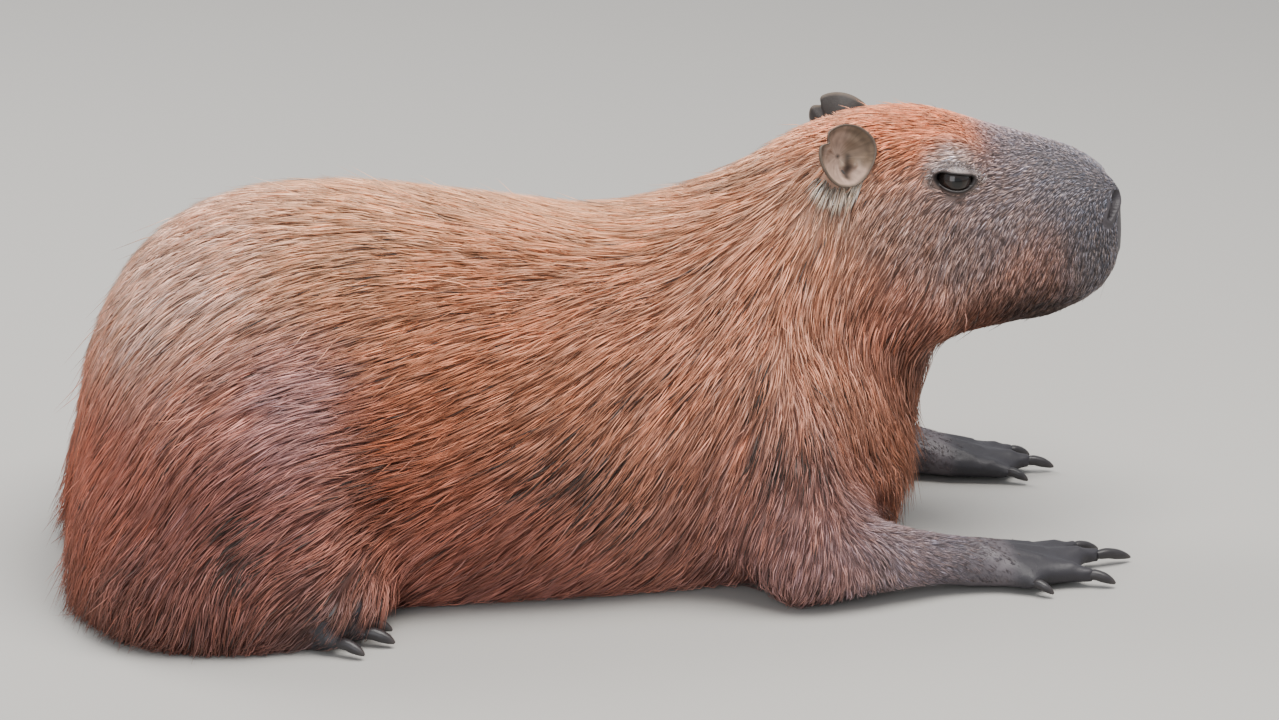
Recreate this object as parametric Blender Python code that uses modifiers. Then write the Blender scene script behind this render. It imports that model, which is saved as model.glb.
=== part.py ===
# A life-size capybara lying on its belly, head up, forelegs stretched out in front.
# Metres, +Z up, +X towards the nose, +Y to the animal's left. The floor is z = 0.
import math
import random

import bmesh
import bpy
import numpy as np
from mathutils import Matrix, Vector
from mathutils.bvhtree import BVHTree

# Driving dimensions
RUMP_X = -0.478          # back of the rump
CHEST_X = 0.236          # front of the brisket
NOSE_X = 0.411           # front of the muzzle
LOIN_Z = 0.329           # highest point of the back, over the hips
BARREL_WIDE = 0.178      # half the width of the rib cage
CHEEK_WIDE = 0.072       # half the width of the head at the jaw angle
MUZZLE_WIDE = 0.053      # half the width of the muzzle
EYE_RADIUS = 0.0145
EYE_AT = (0.2575, 0.0470, 0.3245)      # centre of an eyeball, y outwards
EYE_OPENING = (0.032, 0.015)           # width and height between the lids
EYE_FACETS = {"segments": 14, "rings": 9}
LID_THICK = 0.0026
NOSTRIL_AT = (0.3965, 0.0395, 0.2925)
NOSTRIL_RADII = (0.0085, 0.0050, 0.0090)
MOUTH_RADIUS = 0.0023
EAR_AT = (0.1650, 0.0650, 0.3520)      # middle of an ear's rim
EAR_RADII = (0.0245, 0.0250)           # half its width and height
EAR_DEPTH = 0.015
EAR_THICK = 0.0034
EAR_OUT = (0.34, 0.90, 0.26)           # the way its cup opens
EAR_UP = (0.06, -0.30, 0.95)
EAR_NOTCH = 142                        # where its rim dips, in degrees from the front
KNEE_AT = (-0.235, 0.13)               # x and z where the thigh stands off the flank
HEAD_CUT = (0.19, 0.26, 35.8)          # cut behind the jaw: x and z on it, and its lean in degrees
NECK_CUT = (0.13, 0.205, 46.4)         # cut from the withers to the brisket
GAP = 0.0003             # left between touching nodes
BELOW_FLOOR = -0.03      # where the soft forms end before the floor flattens them
WRIST_X = 0.252          # where foreleg and forefoot part
VOXEL = 0.004            # grid on which the flesh is fused
FLESH_TRIANGLES = 3450   # what the fused flesh is thinned to
CRISP_THINNED = 0.85     # how much of that thinning the head and feet take

# Toes of a forefoot: knuckle and claw tip as (x, outward y), then thickness
FORE_TOES = {
    "r": [((0.314, 0.112), (0.381, 0.083), 0.0095), ((0.322, 0.130), (0.404, 0.106), 0.0105),
          ((0.318, 0.150), (0.378, 0.166), 0.0105), ((0.280, 0.157), (0.322, 0.184), 0.0092)],
    "l": [((0.310, 0.112), (0.357, 0.095), 0.0095), ((0.320, 0.130), (0.387, 0.128), 0.0105),
          ((0.316, 0.148), (0.372, 0.162), 0.0105), ((0.278, 0.156), (0.328, 0.185), 0.0092)],
}
HIND_TOES = [((-0.285, 0.190), (-0.226, 0.200), 0.0110), ((-0.290, 0.206), (-0.226, 0.228), 0.0120),
             ((-0.305, 0.220), (-0.252, 0.252), 0.0110)]
SIDES = {"r": -1, "l": 1}

# Locks of the long coat: how many a node carries, and their length and width
LOCKS = {
    "neck": (17, 0.084, 0.046),
    "foreleg_r": (6, 0.068, 0.038),
    "foreleg_l": (6, 0.068, 0.038),
    "haunch_r": (18, 0.112, 0.052),
    "haunch_l": (18, 0.112, 0.052),
    "torso": (82, 0.142, 0.060),
}
LOCK_THICK = 0.0070
LOCK_SUNK = 0.0065       # how deep a lock's root lies under the skin
LOCK_LIFT = 0.0060       # how far its tip stands off
LOCK_CLEAR = 0.0012      # left to other nodes and to the floor
LOCK_LENGTHS = (1.0, 0.85, 0.70, 0.58, 0.46)    # tried in turn until a lock fits its place
SEED = 5
UP = Vector((0, 0, 1))

# Lie of the coat: a place (x, y outwards, z) and the way its hair points (forwards, outwards, up)
LIE = [
    ((0.13, 0.10, 0.27), (-0.60, 0.00, -0.80)), ((0.08, 0.02, 0.33), (-0.95, 0.00, -0.25)),
    ((0.02, 0.10, 0.28), (-0.85, 0.10, -0.45)), ((0.08, 0.16, 0.18), (-0.55, 0.05, -0.80)),
    ((0.20, 0.10, 0.12), (-0.10, 0.05, -1.00)), ((0.25, 0.04, 0.14), (-0.40, 0.00, -0.90)),
    ((-0.10, 0.18, 0.18), (-0.95, 0.00, -0.25)), ((-0.20, 0.03, 0.325), (-1.00, 0.00, 0.00)),
    ((-0.25, 0.15, 0.27), (-0.95, 0.05, -0.25)), ((-0.38, 0.05, 0.30), (-0.80, 0.00, -0.60)),
    ((-0.46, 0.05, 0.18), (-0.25, 0.00, -1.00)), ((-0.48, 0.05, 0.06), (-0.20, 0.00, -1.00)),
    ((-0.28, 0.20, 0.20), (-0.85, 0.10, -0.50)), ((-0.34, 0.22, 0.13), (-0.65, 0.00, -0.75)),
    ((-0.30, 0.23, 0.05), (-0.45, 0.05, -0.90)), ((-0.42, 0.17, 0.15), (-0.45, 0.00, -0.90)),
    ((-0.05, 0.18, 0.08), (-0.85, 0.00, -0.50)),
]

# Colour, roughness
FINISHES = {
    "coat": ((0.300, 0.115, 0.052), 0.80),
    "face": ((0.190, 0.130, 0.105), 0.80),
    "bare_skin": ((0.060, 0.048, 0.045), 0.62),
    "ear_skin": ((0.095, 0.070, 0.060), 0.70),
    "eye": ((0.006, 0.004, 0.003), 0.08),
    "claw": ((0.028, 0.024, 0.022), 0.45),
}


def smooth_curve(points):
    """A curve through (position, value) points that never overshoots them."""
    xs = np.array([p[0] for p in points], float)
    ys = np.array([p[1] for p in points], float)
    steps = np.diff(xs)
    slopes = np.diff(ys) / steps
    tangents = np.zeros(len(xs))
    tangents[0], tangents[-1] = slopes[0], slopes[-1]
    for i in range(1, len(xs) - 1):
        if slopes[i - 1] * slopes[i] > 0:
            before = 2 * steps[i] + steps[i - 1]
            after = steps[i] + 2 * steps[i - 1]
            tangents[i] = (before + after) / (before / slopes[i - 1] + after / slopes[i])

    def value(x):
        x = np.clip(np.asarray(x, float), xs[0], xs[-1])
        i = np.clip(np.searchsorted(xs, x) - 1, 0, len(xs) - 2)
        t = (x - xs[i]) / steps[i]
        return ((1 + 2 * t) * (1 - t) ** 2 * ys[i] + t * (1 - t) ** 2 * steps[i] * tangents[i]
                + t * t * (3 - 2 * t) * ys[i + 1] + t * t * (t - 1) * steps[i] * tangents[i + 1])

    return value


def mesh_object(name, points, faces):
    """A new mesh object in the scene, shaded smooth, with its faces turned outwards."""
    mesh = bpy.data.meshes.new(name)
    mesh.from_pydata([tuple(p) for p in points], [], faces)
    shell = bmesh.new()
    shell.from_mesh(mesh)
    bmesh.ops.recalc_face_normals(shell, faces=shell.faces)
    shell.to_mesh(mesh)
    shell.free()
    made = bpy.data.objects.new(name, mesh)
    bpy.context.scene.collection.objects.link(made)
    return made


def rings_object(name, rings):
    """Rings of equally many points joined into a closed skin, with a fan over each end."""
    count, sides = rings.shape[:2]
    points = np.vstack([rings.reshape(-1, 3), rings[0].mean(0), rings[-1].mean(0)])
    first, last = count * sides, count * sides + 1
    faces = []
    for i in range(count - 1):
        for j in range(sides):
            k = (j + 1) % sides
            corner, across = i * sides + j, (i + 1) * sides + k
            faces.append((corner, i * sides + k, across))
            faces.append((corner, across, (i + 1) * sides + j))
    for j in range(sides):
        k = (j + 1) % sides
        faces.append((first, k, j))
        faces.append((last, (count - 1) * sides + j, (count - 1) * sides + k))
    return mesh_object(name, points, faces)


def oval(angles, power):
    """Cosine and sine of a superellipse: power 2 is round, more is boxier."""
    c, s = np.cos(angles), np.sin(angles)
    return (np.sign(c) * np.abs(c) ** (2 / power), np.sign(s) * np.abs(s) ** (2 / power))


def end_share(x, start, end, tail, nose):
    """How much of its full section a form keeps near its ends: (depth, power) of each rounding."""
    share = np.ones_like(x)
    for distance, (depth, power) in ((x - start, tail), (end - x, nose)):
        inside = np.clip((depth - distance) / depth, 0, 1)
        share *= (1 - inside ** power) ** (1 / power)
    return np.maximum(share, 0.004)


def trunk_form(name, start, end, top, bottom, wide, level, powers, tail, nose, tail_z, nose_z,
               middle=None, sides=48):
    """A form along X. Each section goes from top(x) to bottom(x), is wide(x) to each side at
    level(x) of its height, and closes at each end towards tail_z and nose_z."""
    x = start + (end - start) * (0.5 - 0.5 * np.cos(np.linspace(0, math.pi, 60)))
    share = end_share(x, start, end, tail, nose)
    closing = np.where(x < (start + end) / 2, tail_z, nose_z)
    high = closing + (smooth_curve(top)(x) - closing) * share
    low = closing + (smooth_curve(bottom)(x) - closing) * share
    half = smooth_curve(wide)(x) * share
    waist = low + (high - low) * smooth_curve(level)(x)
    centre = smooth_curve(middle)(x) if middle else np.zeros_like(x)
    angles = np.linspace(0, 2 * math.pi, sides, endpoint=False) + math.pi / sides
    upper = oval(angles, powers[0])
    lower = oval(angles, powers[1])
    above = np.sin(angles) > 0
    across = np.where(above, upper[0], lower[0])
    rise = np.where(above, upper[1], lower[1])
    reach = np.where(above, (high - waist)[:, None], (waist - low)[:, None])
    rings = np.stack([
        np.repeat(x[:, None], sides, 1),
        centre[:, None] + half[:, None] * across,
        waist[:, None] + reach * rise,
    ], axis=2)
    return rings_object(name, rings)


def limb(name, path, up=(0, 0, 1), power=2.0, grow=0.0, steps=26, sides=28, round_ends=True):
    """A tube through path points of (x, y, z, half width, half height). up sets its height's side.
    grow makes it that much fatter and longer all round."""
    rows = np.array(path, float)
    run = np.r_[0, np.cumsum(np.linalg.norm(np.diff(rows[:, :3], axis=0), axis=1))]
    end_depth = 0.5 * (rows[0, 3] + rows[-1, 3]) / run[-1] if round_ends else 0
    t = 0.5 - 0.5 * np.cos(np.linspace(0, math.pi, steps))
    columns = [smooth_curve(list(zip(run, rows[:, k])))(t * run[-1]) for k in range(5)]
    centre = np.stack(columns[:3], 1)
    along = np.gradient(centre, axis=0)
    along /= np.linalg.norm(along, axis=1)[:, None]
    side = np.cross(along, np.array(up, float))
    side /= np.linalg.norm(side, axis=1)[:, None]
    tall = np.cross(side, along)
    share = np.ones_like(t)
    if round_ends:
        for distance in (t, 1 - t):
            inside = np.clip((end_depth - distance) / end_depth, 0, 1)
            share *= np.sqrt(1 - inside ** 2)
        share = np.maximum(share, 0.02)
    centre += along * (2 * t - 1)[:, None] * grow
    angles = np.linspace(0, 2 * math.pi, sides, endpoint=False)
    c, s = oval(angles, power)
    rings = (centre[:, None, :]
             + side[:, None, :] * ((columns[3] * share + grow)[:, None] * c)[..., None]
             + tall[:, None, :] * ((columns[4] * share + grow)[:, None] * s)[..., None])
    return rings_object(name, rings)


def blob(name, centre, radii, turn=(0, 0, 0), segments=24, rings=16, grow=0.0):
    """An ellipsoid with its own radii, turned by angles about X, Y and Z in degrees."""
    mesh = bpy.data.meshes.new(name)
    shell = bmesh.new()
    bmesh.ops.create_uvsphere(shell, u_segments=segments, v_segments=rings, radius=1)
    turned = (Matrix.Rotation(math.radians(turn[2]), 4, "Z")
              @ Matrix.Rotation(math.radians(turn[1]), 4, "Y")
              @ Matrix.Rotation(math.radians(turn[0]), 4, "X"))
    placed = (Matrix.Translation(centre) @ turned
              @ Matrix.Diagonal([r + grow for r in radii] + [1]))
    bmesh.ops.transform(shell, matrix=placed, verts=shell.verts)
    shell.to_mesh(mesh)
    shell.free()
    made = bpy.data.objects.new(name, mesh)
    bpy.context.scene.collection.objects.link(made)
    return made


def block(name, middle, half, lean=0.0):
    """A box with its own half sizes, its nose lifted by an angle in degrees."""
    mesh = bpy.data.meshes.new(name)
    shell = bmesh.new()
    bmesh.ops.create_cube(shell, size=2)
    placed = (Matrix.Translation(middle) @ Matrix.Rotation(math.radians(-lean), 4, "Y")
              @ Matrix.Diagonal(list(half) + [1]))
    bmesh.ops.transform(shell, matrix=placed, verts=shell.verts)
    shell.to_mesh(mesh)
    shell.free()
    made = bpy.data.objects.new(name, mesh)
    bpy.context.scene.collection.objects.link(made)
    return made


def trunk_forms():
    """Rib cage, belly and rump as one form, closed in front by the brisket."""
    return [trunk_form(
        "trunk", RUMP_X, CHEST_X,
        top=[(RUMP_X, 0.30), (-0.40, 0.322), (-0.27, LOIN_Z), (-0.16, 0.316), (-0.03, 0.294),
             (0.05, 0.284), (0.12, 0.255), (0.19, 0.215), (CHEST_X, 0.17)],
        bottom=[(RUMP_X, BELOW_FLOOR), (0.12, BELOW_FLOOR), (CHEST_X, 0.0)],
        wide=[(RUMP_X, 0.165), (-0.36, 0.176), (-0.10, BARREL_WIDE), (0.04, 0.168),
              (0.14, 0.142), (CHEST_X, 0.112)],
        level=[(RUMP_X, 0.40), (0.05, 0.42), (CHEST_X, 0.45)],
        powers=(2.15, 2.7), tail=(0.20, 2.6), nose=(0.10, 2.4), tail_z=0.085, nose_z=0.10,
        middle=[(RUMP_X, -0.018), (-0.20, -0.008), (0.05, 0.0), (CHEST_X, 0.0)])]


def neck_forms():
    """The neck rises out of the withers; the throat fills the corner under the jaw."""
    return [trunk_form(
        "nape", -0.20, 0.262,
        top=[(-0.20, 0.292), (-0.10, 0.300), (-0.03, 0.2985), (0.03, 0.309), (0.075, 0.329),
             (0.12, 0.353), (0.17, 0.366), (0.262, 0.350)],
        bottom=[(-0.20, 0.12), (0.05, 0.10), (0.15, 0.115), (0.262, 0.175)],
        wide=[(-0.20, 0.075), (-0.06, 0.118), (0.04, 0.122), (0.12, 0.100), (0.19, 0.076),
              (0.262, 0.060)],
        level=[(-0.20, 0.45), (0.262, 0.45)],
        powers=(2.0, 2.2), tail=(0.16, 2.0), nose=(0.06, 2.0), tail_z=0.22, nose_z=0.25),
            limb("throat", [(0.13, 0, 0.17, 0.078, 0.090), (0.188, 0, 0.180, 0.070, 0.090),
                            (0.230, 0, 0.212, 0.055, 0.070)], up=(-0.6, 0, 1))]


def head_forms():
    """The skull as one form, with the cheeks, brows, whisker pads, nose and chin laid on it."""
    made = [trunk_form(
        "skull", 0.105, NOSE_X,
        top=[(0.105, 0.345), (0.145, 0.360), (0.190, 0.371), (0.225, 0.373), (0.260, 0.369),
             (0.295, 0.358), (0.330, 0.348), (0.365, 0.336), (0.390, 0.325), (NOSE_X, 0.316)],
        bottom=[(0.105, 0.20), (0.18, 0.175), (0.235, 0.168), (0.275, 0.178), (0.315, 0.186),
                (0.350, 0.195), (0.385, 0.204), (NOSE_X, 0.212)],
        wide=[(0.105, 0.066), (0.165, 0.070), (0.205, CHEEK_WIDE), (0.245, 0.067), (0.285, 0.059),
              (0.330, 0.052), (0.370, MUZZLE_WIDE), (NOSE_X, 0.048)],
        level=[(0.105, 0.50), (0.22, 0.42), (0.33, 0.38), (NOSE_X, 0.40)],
        powers=(2.6, 2.5), tail=(0.05, 2.0), nose=(0.040, 2.4), tail_z=0.28, nose_z=0.265,
        sides=56)]
    for side in (-1, 1):
        made += [
            blob("jaw", (0.214, 0.046 * side, 0.224), (0.060, 0.031, 0.052), (0, 18, 6 * side)),
            blob("brow", (0.254, 0.043 * side, 0.342), (0.040, 0.019, 0.020), (0, 10, -8 * side)),
            blob("pad", (0.368, 0.028 * side, 0.243), (0.036, 0.028, 0.036), (0, 14, 0)),
            blob("nose", (0.380, 0.023 * side, 0.294), (0.028, 0.023, 0.027), (0, 25, 0)),
        ]
    made.append(blob("chin", (0.334, 0, 0.208), (0.046, 0.033, 0.022), (0, -8, 0)))
    return made


def haunch_forms(side):
    """The folded hind leg: thigh, shank along the floor, and the buttock behind them."""
    return [blob("thigh", (-0.334, 0.130 * side - 0.004, 0.114), (0.112, 0.094, 0.122),
                 (0, 6, 4 * side)),
            blob("shank", (-0.345, 0.160 * side - 0.010, 0.042), (0.124, 0.080, 0.080)),
            blob("buttock", (-0.412, 0.080 * side - 0.014, 0.050), (0.078, 0.095, 0.110))]


def foreleg_forms(side):
    """Upper arm down to the elbow on the floor, and the forearm stretched out along it."""
    return [limb("shoulder", [(0.045, 0.086 * side, 0.215, 0.060, 0.080),
                              (0.080, 0.122 * side, 0.135, 0.056, 0.074),
                              (0.102, 0.156 * side, 0.060, 0.048, 0.062),
                              (0.106, 0.166 * side, 0.022, 0.042, 0.054)], up=(1, 0, 0)),
            limb("forearm", [(0.080, 0.166 * side, 0.034, 0.044, 0.044),
                             (0.140, 0.166 * side, 0.038, 0.042, 0.040),
                             (0.195, 0.157 * side, 0.032, 0.035, 0.031),
                             (0.245, 0.146 * side, 0.023, 0.026, 0.022),
                             (0.290, 0.140 * side, 0.019, 0.025, 0.018)])]


def forefoot_forms(side):
    """The hand: wrist, back of the hand and four spread toes, without their claws."""
    s = SIDES[side]
    made = [limb("palm", [(0.225, 0.148 * s, 0.026, 0.029, 0.025),
                          (0.255, 0.144 * s, 0.021, 0.026, 0.020),
                          (0.285, 0.140 * s, 0.017, 0.031, 0.017),
                          (0.310, 0.136 * s, 0.014, 0.035, 0.014),
                          (0.328, 0.134 * s, 0.010, 0.033, 0.010)], power=2.3)]
    for knuckle, tip, thick in FORE_TOES[side]:
        made.append(toe_form(knuckle, tip, thick, s, 0.79))
    return made


def hindfoot_forms(side):
    """The long foot under the folded leg, with three thick toes showing in front of it."""
    s = SIDES[side]
    made = [limb("sole", [(-0.445, 0.160 * s, 0.020, 0.026, 0.024),
                          (-0.360, 0.178 * s, 0.018, 0.034, 0.022),
                          (-0.290, 0.205 * s, 0.014, 0.036, 0.018)])]
    for knuckle, tip, thick in HIND_TOES:
        made.append(toe_form(knuckle, tip, thick, s, 0.77))
    return made


def toe_form(knuckle, tip, thick, s, reach):
    """One toe from its knuckle towards its claw's tip, as far as that share of the way."""
    start = np.array([knuckle[0], knuckle[1] * s, 0.017])
    run = np.array([tip[0] - knuckle[0], (tip[1] - knuckle[1]) * s, -0.010])
    rows = []
    for t, size in ((0.0, 1.0), (0.35, 0.96), (0.7, 1.02), (1.0, 0.86)):
        rows.append((*(start + run * t * reach), thick * size, thick * size * 1.05))
    return limb("toe", rows, steps=14, sides=14)


def claw(name, knuckle, tip, thick, s, grow=0.0):
    """A blunt, slightly hooked claw, its root sunk in the toe's end."""
    start = np.array([knuckle[0], knuckle[1] * s])
    run = np.array([tip[0] - knuckle[0], (tip[1] - knuckle[1]) * s])
    rows = []
    for t, z, size in ((0.68, 0.0120, 0.56), (0.80, 0.0110, 0.58), (0.91, 0.0082, 0.44),
                       (1.0, 0.0045, 0.16)):
        at = start + run * t
        rows.append((at[0], at[1], z, thick * size, thick * size * 1.05))
    return limb(name, rows, steps=5, sides=6, grow=grow, round_ends=False)


def evaluated_copy(source, name):
    """The object as its modifiers leave it, as a plain mesh object. The source is removed."""
    graph = bpy.context.evaluated_depsgraph_get()
    mesh = bpy.data.meshes.new_from_object(source.evaluated_get(graph))
    mesh.transform(source.matrix_world)
    bpy.data.objects.remove(source)
    made = bpy.data.objects.new(name, mesh)
    bpy.context.scene.collection.objects.link(made)
    return made


def joined(name, pieces):
    """The pieces as one mesh object, not yet fused."""
    whole = bmesh.new()
    for piece in pieces:
        whole.from_mesh(piece.data)
        bpy.data.objects.remove(piece)
    mesh = bpy.data.meshes.new(name)
    whole.to_mesh(mesh)
    whole.free()
    made = bpy.data.objects.new(name, mesh)
    bpy.context.scene.collection.objects.link(made)
    return made


def relax(mesh, rounds, strength):
    """Moves each point towards its neighbours' middle. strength(points) is 0 to 1 for each."""
    points = np.empty(len(mesh.vertices) * 3)
    mesh.vertices.foreach_get("co", points)
    points = points.reshape(-1, 3)
    ends = np.empty(len(mesh.edges) * 2, int)
    mesh.edges.foreach_get("vertices", ends)
    a, b = ends.reshape(-1, 2).T
    degree = np.bincount(np.r_[a, b], minlength=len(points))[:, None]
    share = strength(points)[:, None]
    for _ in range(rounds):
        total = np.zeros_like(points)
        for k in range(3):
            total[:, k] = (np.bincount(a, points[b, k], len(points))
                           + np.bincount(b, points[a, k], len(points)))
        points += 0.5 * share * (total / degree - points)
    mesh.vertices.foreach_set("co", points.ravel())
    mesh.update()


def ease_share(points):
    """1 on the body, less round the knees, falling to little on the head and the feet, whose
    forms stay crisp."""
    ahead = (points - (HEAD_CUT[0], 0, HEAD_CUT[1])) @ np.array(cut_ahead(HEAD_CUT))
    head = np.clip(1 - (ahead + 0.03) / 0.06, 0.10, 1)
    hands = np.clip(1 - (points[:, 0] - 0.20) / 0.06, 0.04, 1)
    low = points[:, 2] < 0.09
    toes = low & (points[:, 0] > -0.30) & (points[:, 0] < -0.21) & (np.abs(points[:, 1]) > 0.19)
    share = np.where(toes & (points[:, 2] < 0.035), 0.15, np.where(low, hands, head))
    knee = np.exp(-(((points[:, 0] - KNEE_AT[0]) / 0.07) ** 2 + ((points[:, 2] - KNEE_AT[1]) / 0.11) ** 2))
    return share * (1 - 0.50 * knee * (np.abs(points[:, 1]) > 0.09))


def combine(target, tool, operation):
    """The target joined with, cut by or kept inside the tool, which is then removed."""
    step = target.modifiers.new("step", "BOOLEAN")
    step.operation = operation
    step.object = tool
    step.solver = "MANIFOLD"
    made = evaluated_copy(target, target.name)
    bpy.data.objects.remove(tool)
    return made


def copy_of(source, name):
    made = bpy.data.objects.new(name, source.data.copy())
    bpy.context.scene.collection.objects.link(made)
    return made


def largest_shell(made):
    """Keeps the biggest closed surface of an object and drops loose scraps."""
    shell = bmesh.new()
    shell.from_mesh(made.data)
    left = set(shell.faces)
    best, best_area = [], -1.0
    while left:
        stack = [left.pop()]
        found = list(stack)
        while stack:
            for edge in stack.pop().edges:
                for face in edge.link_faces:
                    if face in left:
                        left.remove(face)
                        stack.append(face)
                        found.append(face)
        area = sum(face.calc_area() for face in found)
        if area > best_area:
            best, best_area = found, area
    kept = set(best)
    bmesh.ops.delete(shell, geom=[f for f in shell.faces if f not in kept], context="FACES")
    shell.to_mesh(made.data)
    shell.free()
    return made


def fused_flesh():
    """Every form of flesh fused on a fine grid, eased where forms meet, thinned, and cut
    flat where it rests on the floor."""
    forms = trunk_forms() + neck_forms() + head_forms()
    for side, s in SIDES.items():
        forms += haunch_forms(s) + foreleg_forms(s) + forefoot_forms(side) + hindfoot_forms(side)
    flesh = joined("flesh", forms)
    remesh = flesh.modifiers.new("fuse", "REMESH")
    remesh.mode = "VOXEL"
    remesh.voxel_size = VOXEL
    flesh = evaluated_copy(flesh, "flesh")
    relax(flesh.data, 90, ease_share)
    flesh = combine(flesh, floor_block(-0.001), "DIFFERENCE")
    flesh.data.calc_loop_triangles()
    points = np.array([v.co for v in flesh.data.vertices])
    crisp = ease_share(points) < 0.6
    amount = flesh.vertex_groups.new(name="amount")
    amount.add(np.flatnonzero(~crisp).tolist(), 1.0, "REPLACE")
    amount.add(np.flatnonzero(crisp).tolist(), CRISP_THINNED, "REPLACE")
    thin = flesh.modifiers.new("thin", "DECIMATE")
    thin.vertex_group = "amount"
    thin.ratio = FLESH_TRIANGLES / len(flesh.data.loop_triangles)
    flesh = evaluated_copy(flesh, "flesh")
    return combine(flesh, floor_block(0), "DIFFERENCE")


def floor_block(level):
    return block("floor", (0, 0, level - 0.5), (1, 1, 0.5))


def cut_ahead(cut):
    """The unit direction square to a leaning cut, forwards and up."""
    lean = math.radians(cut[2])
    return Vector((math.cos(lean), 0, math.sin(lean)))


def block_ahead(cut, shift):
    """All that lies ahead of a leaning cut. shift moves the cut forwards."""
    middle = Vector((cut[0], 0, cut[1])) + cut_ahead(cut) * (0.25 + shift)
    return block("ahead", middle, (0.25, 0.30, 0.195), cut[2])


def foreleg_region(s, grow):
    """Round the upper arm, the elbow and the forearm on one side."""
    return limb("foreleg_cut", [(0.065, 0.195 * s, 0.110, 0.100, 0.085),
                                (0.130, 0.182 * s, 0.055, 0.078, 0.070),
                                (0.200, 0.162 * s, 0.040, 0.054, 0.060),
                                (0.300, 0.150 * s, 0.030, 0.054, 0.050)], grow=grow, steps=10, sides=14)


def haunch_region(s, grow):
    return blob("haunch_cut", (-0.338, 0.175 * s, 0.115), (0.135, 0.105, 0.170), grow=grow,
                segments=20, rings=12)


def hindfoot_region(s, grow):
    return limb("hindfoot_cut", [(-0.470, 0.165 * s, 0.004, 0.046, 0.028),
                                 (-0.340, 0.192 * s, 0.004, 0.052, 0.030),
                                 (-0.200, 0.225 * s, 0.004, 0.060, 0.034)],
                grow=grow, steps=8, sides=12)


def hand_block(s, shift):
    return block("hand_cut", (WRIST_X + 0.2 + shift, 0.16 * s, 0.03), (0.2, 0.15, 0.05))


def body_nodes(flesh):
    """The flesh parted with thin cuts into head, neck, torso, legs and feet."""
    nodes = {}
    rest = copy_of(flesh, "torso")
    for side, s in SIDES.items():
        nodes["forefoot_" + side] = combine(
            copy_of(flesh, "forefoot_" + side), hand_block(s, GAP), "INTERSECT")
        rest = combine(rest, hand_block(s, 0), "DIFFERENCE")
    nodes["head"] = combine(copy_of(rest, "head"), block_ahead(HEAD_CUT, GAP), "INTERSECT")
    rest = combine(rest, block_ahead(HEAD_CUT, 0), "DIFFERENCE")
    nodes["neck"] = combine(copy_of(rest, "neck"), block_ahead(NECK_CUT, GAP), "INTERSECT")
    rest = combine(rest, block_ahead(NECK_CUT, 0), "DIFFERENCE")
    for side, s in SIDES.items():
        nodes["foreleg_" + side] = combine(
            copy_of(rest, "foreleg_" + side), foreleg_region(s, 0), "INTERSECT")
        nodes["hindfoot_" + side] = combine(
            copy_of(rest, "hindfoot_" + side), hindfoot_region(s, 0), "INTERSECT")
        haunch = combine(copy_of(rest, "haunch_" + side), haunch_region(s, 0), "INTERSECT")
        nodes["haunch_" + side] = combine(haunch, hindfoot_region(s, GAP), "DIFFERENCE")
        for cutter in (foreleg_region(s, GAP), haunch_region(s, GAP), hindfoot_region(s, GAP)):
            rest = combine(rest, cutter, "DIFFERENCE")
    nodes["torso"] = rest
    return nodes


def surface_tree(made):
    """A tree for finding points on an object's surface."""
    mesh = made.data
    return BVHTree.FromPolygons([v.co for v in mesh.vertices], [p.vertices for p in mesh.polygons])


def mouth_line(tree):
    """The groove between the lips, and the cleft that runs up from it to the nose."""
    rows = []
    for turn in np.linspace(-118, 118, 27):
        angle = math.radians(turn)
        out = Vector((math.cos(angle), math.sin(angle), 0))
        back = abs(turn) / 118
        start = Vector((0.352, 0, 0.2245 - 0.0135 * back ** 2))
        hit = tree.ray_cast(start + out * 0.2, -out)[0]
        thick = MOUTH_RADIUS * (1 - 0.45 * back ** 3)
        rows.append((*(hit - out * 0.0006), thick, thick))
    lips = limb("lips", rows, steps=30, sides=6, round_ends=False)
    rows = []
    for z in np.linspace(0.222, 0.286, 6):
        hit = tree.ray_cast(Vector((0.6, 0, z)), Vector((-1, 0, 0)))[0]
        rows.append((hit.x - 0.0004, 0, z, 0.0017, 0.0020))
    return [lips, limb("cleft", rows, up=(1, 0, 0), steps=8, sides=6, round_ends=False)]


def eye_opening(s):
    """The gap between the lids: nearly straight above, bowed below, drawn to a point each end."""
    wide, high = EYE_OPENING
    t = np.linspace(0, 1, 13)
    upper = 0.36 * high * np.sin(math.pi * t) ** 0.6
    lower = -0.64 * high * np.sin(math.pi * t) ** 0.9
    x = np.r_[t, t[-2:0:-1]] * wide - wide / 2
    z = np.r_[upper, lower[-2:0:-1]]
    inner, outer = EYE_AT[1] * s + 0.0075 * s, (EYE_AT[1] + 0.030) * s
    rings = np.stack([np.stack([EYE_AT[0] + x - 0.15 * abs(y - EYE_AT[1] * s), np.full_like(x, y),
                                EYE_AT[2] + 0.001 + z], 1) for y in (inner, outer)])
    return rings_object("eye_opening", rings)


def head_details(head, tree):
    """Lids round the eyes, nostrils and the line of the mouth, cut or raised on the head."""
    for s in SIDES.values():
        eye = (EYE_AT[0], EYE_AT[1] * s, EYE_AT[2])
        mound = blob("lids", eye, (EYE_RADIUS + LID_THICK + 0.003, EYE_RADIUS + LID_THICK,
                                   EYE_RADIUS + LID_THICK), segments=20, rings=13)
        head = combine(head, mound, "UNION")
        socket = blob("socket", eye, (EYE_RADIUS,) * 3, grow=GAP, **EYE_FACETS)
        head = combine(head, socket, "DIFFERENCE")
        head = combine(head, eye_opening(s), "DIFFERENCE")
        pit = blob("nostril", (NOSTRIL_AT[0], NOSTRIL_AT[1] * s, NOSTRIL_AT[2]), NOSTRIL_RADII,
                   (22 * s, 18, 38 * s), segments=12, rings=8)
        head = combine(head, pit, "DIFFERENCE")
    for groove in mouth_line(tree):
        head = combine(head, groove, "DIFFERENCE")
    return head


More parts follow.
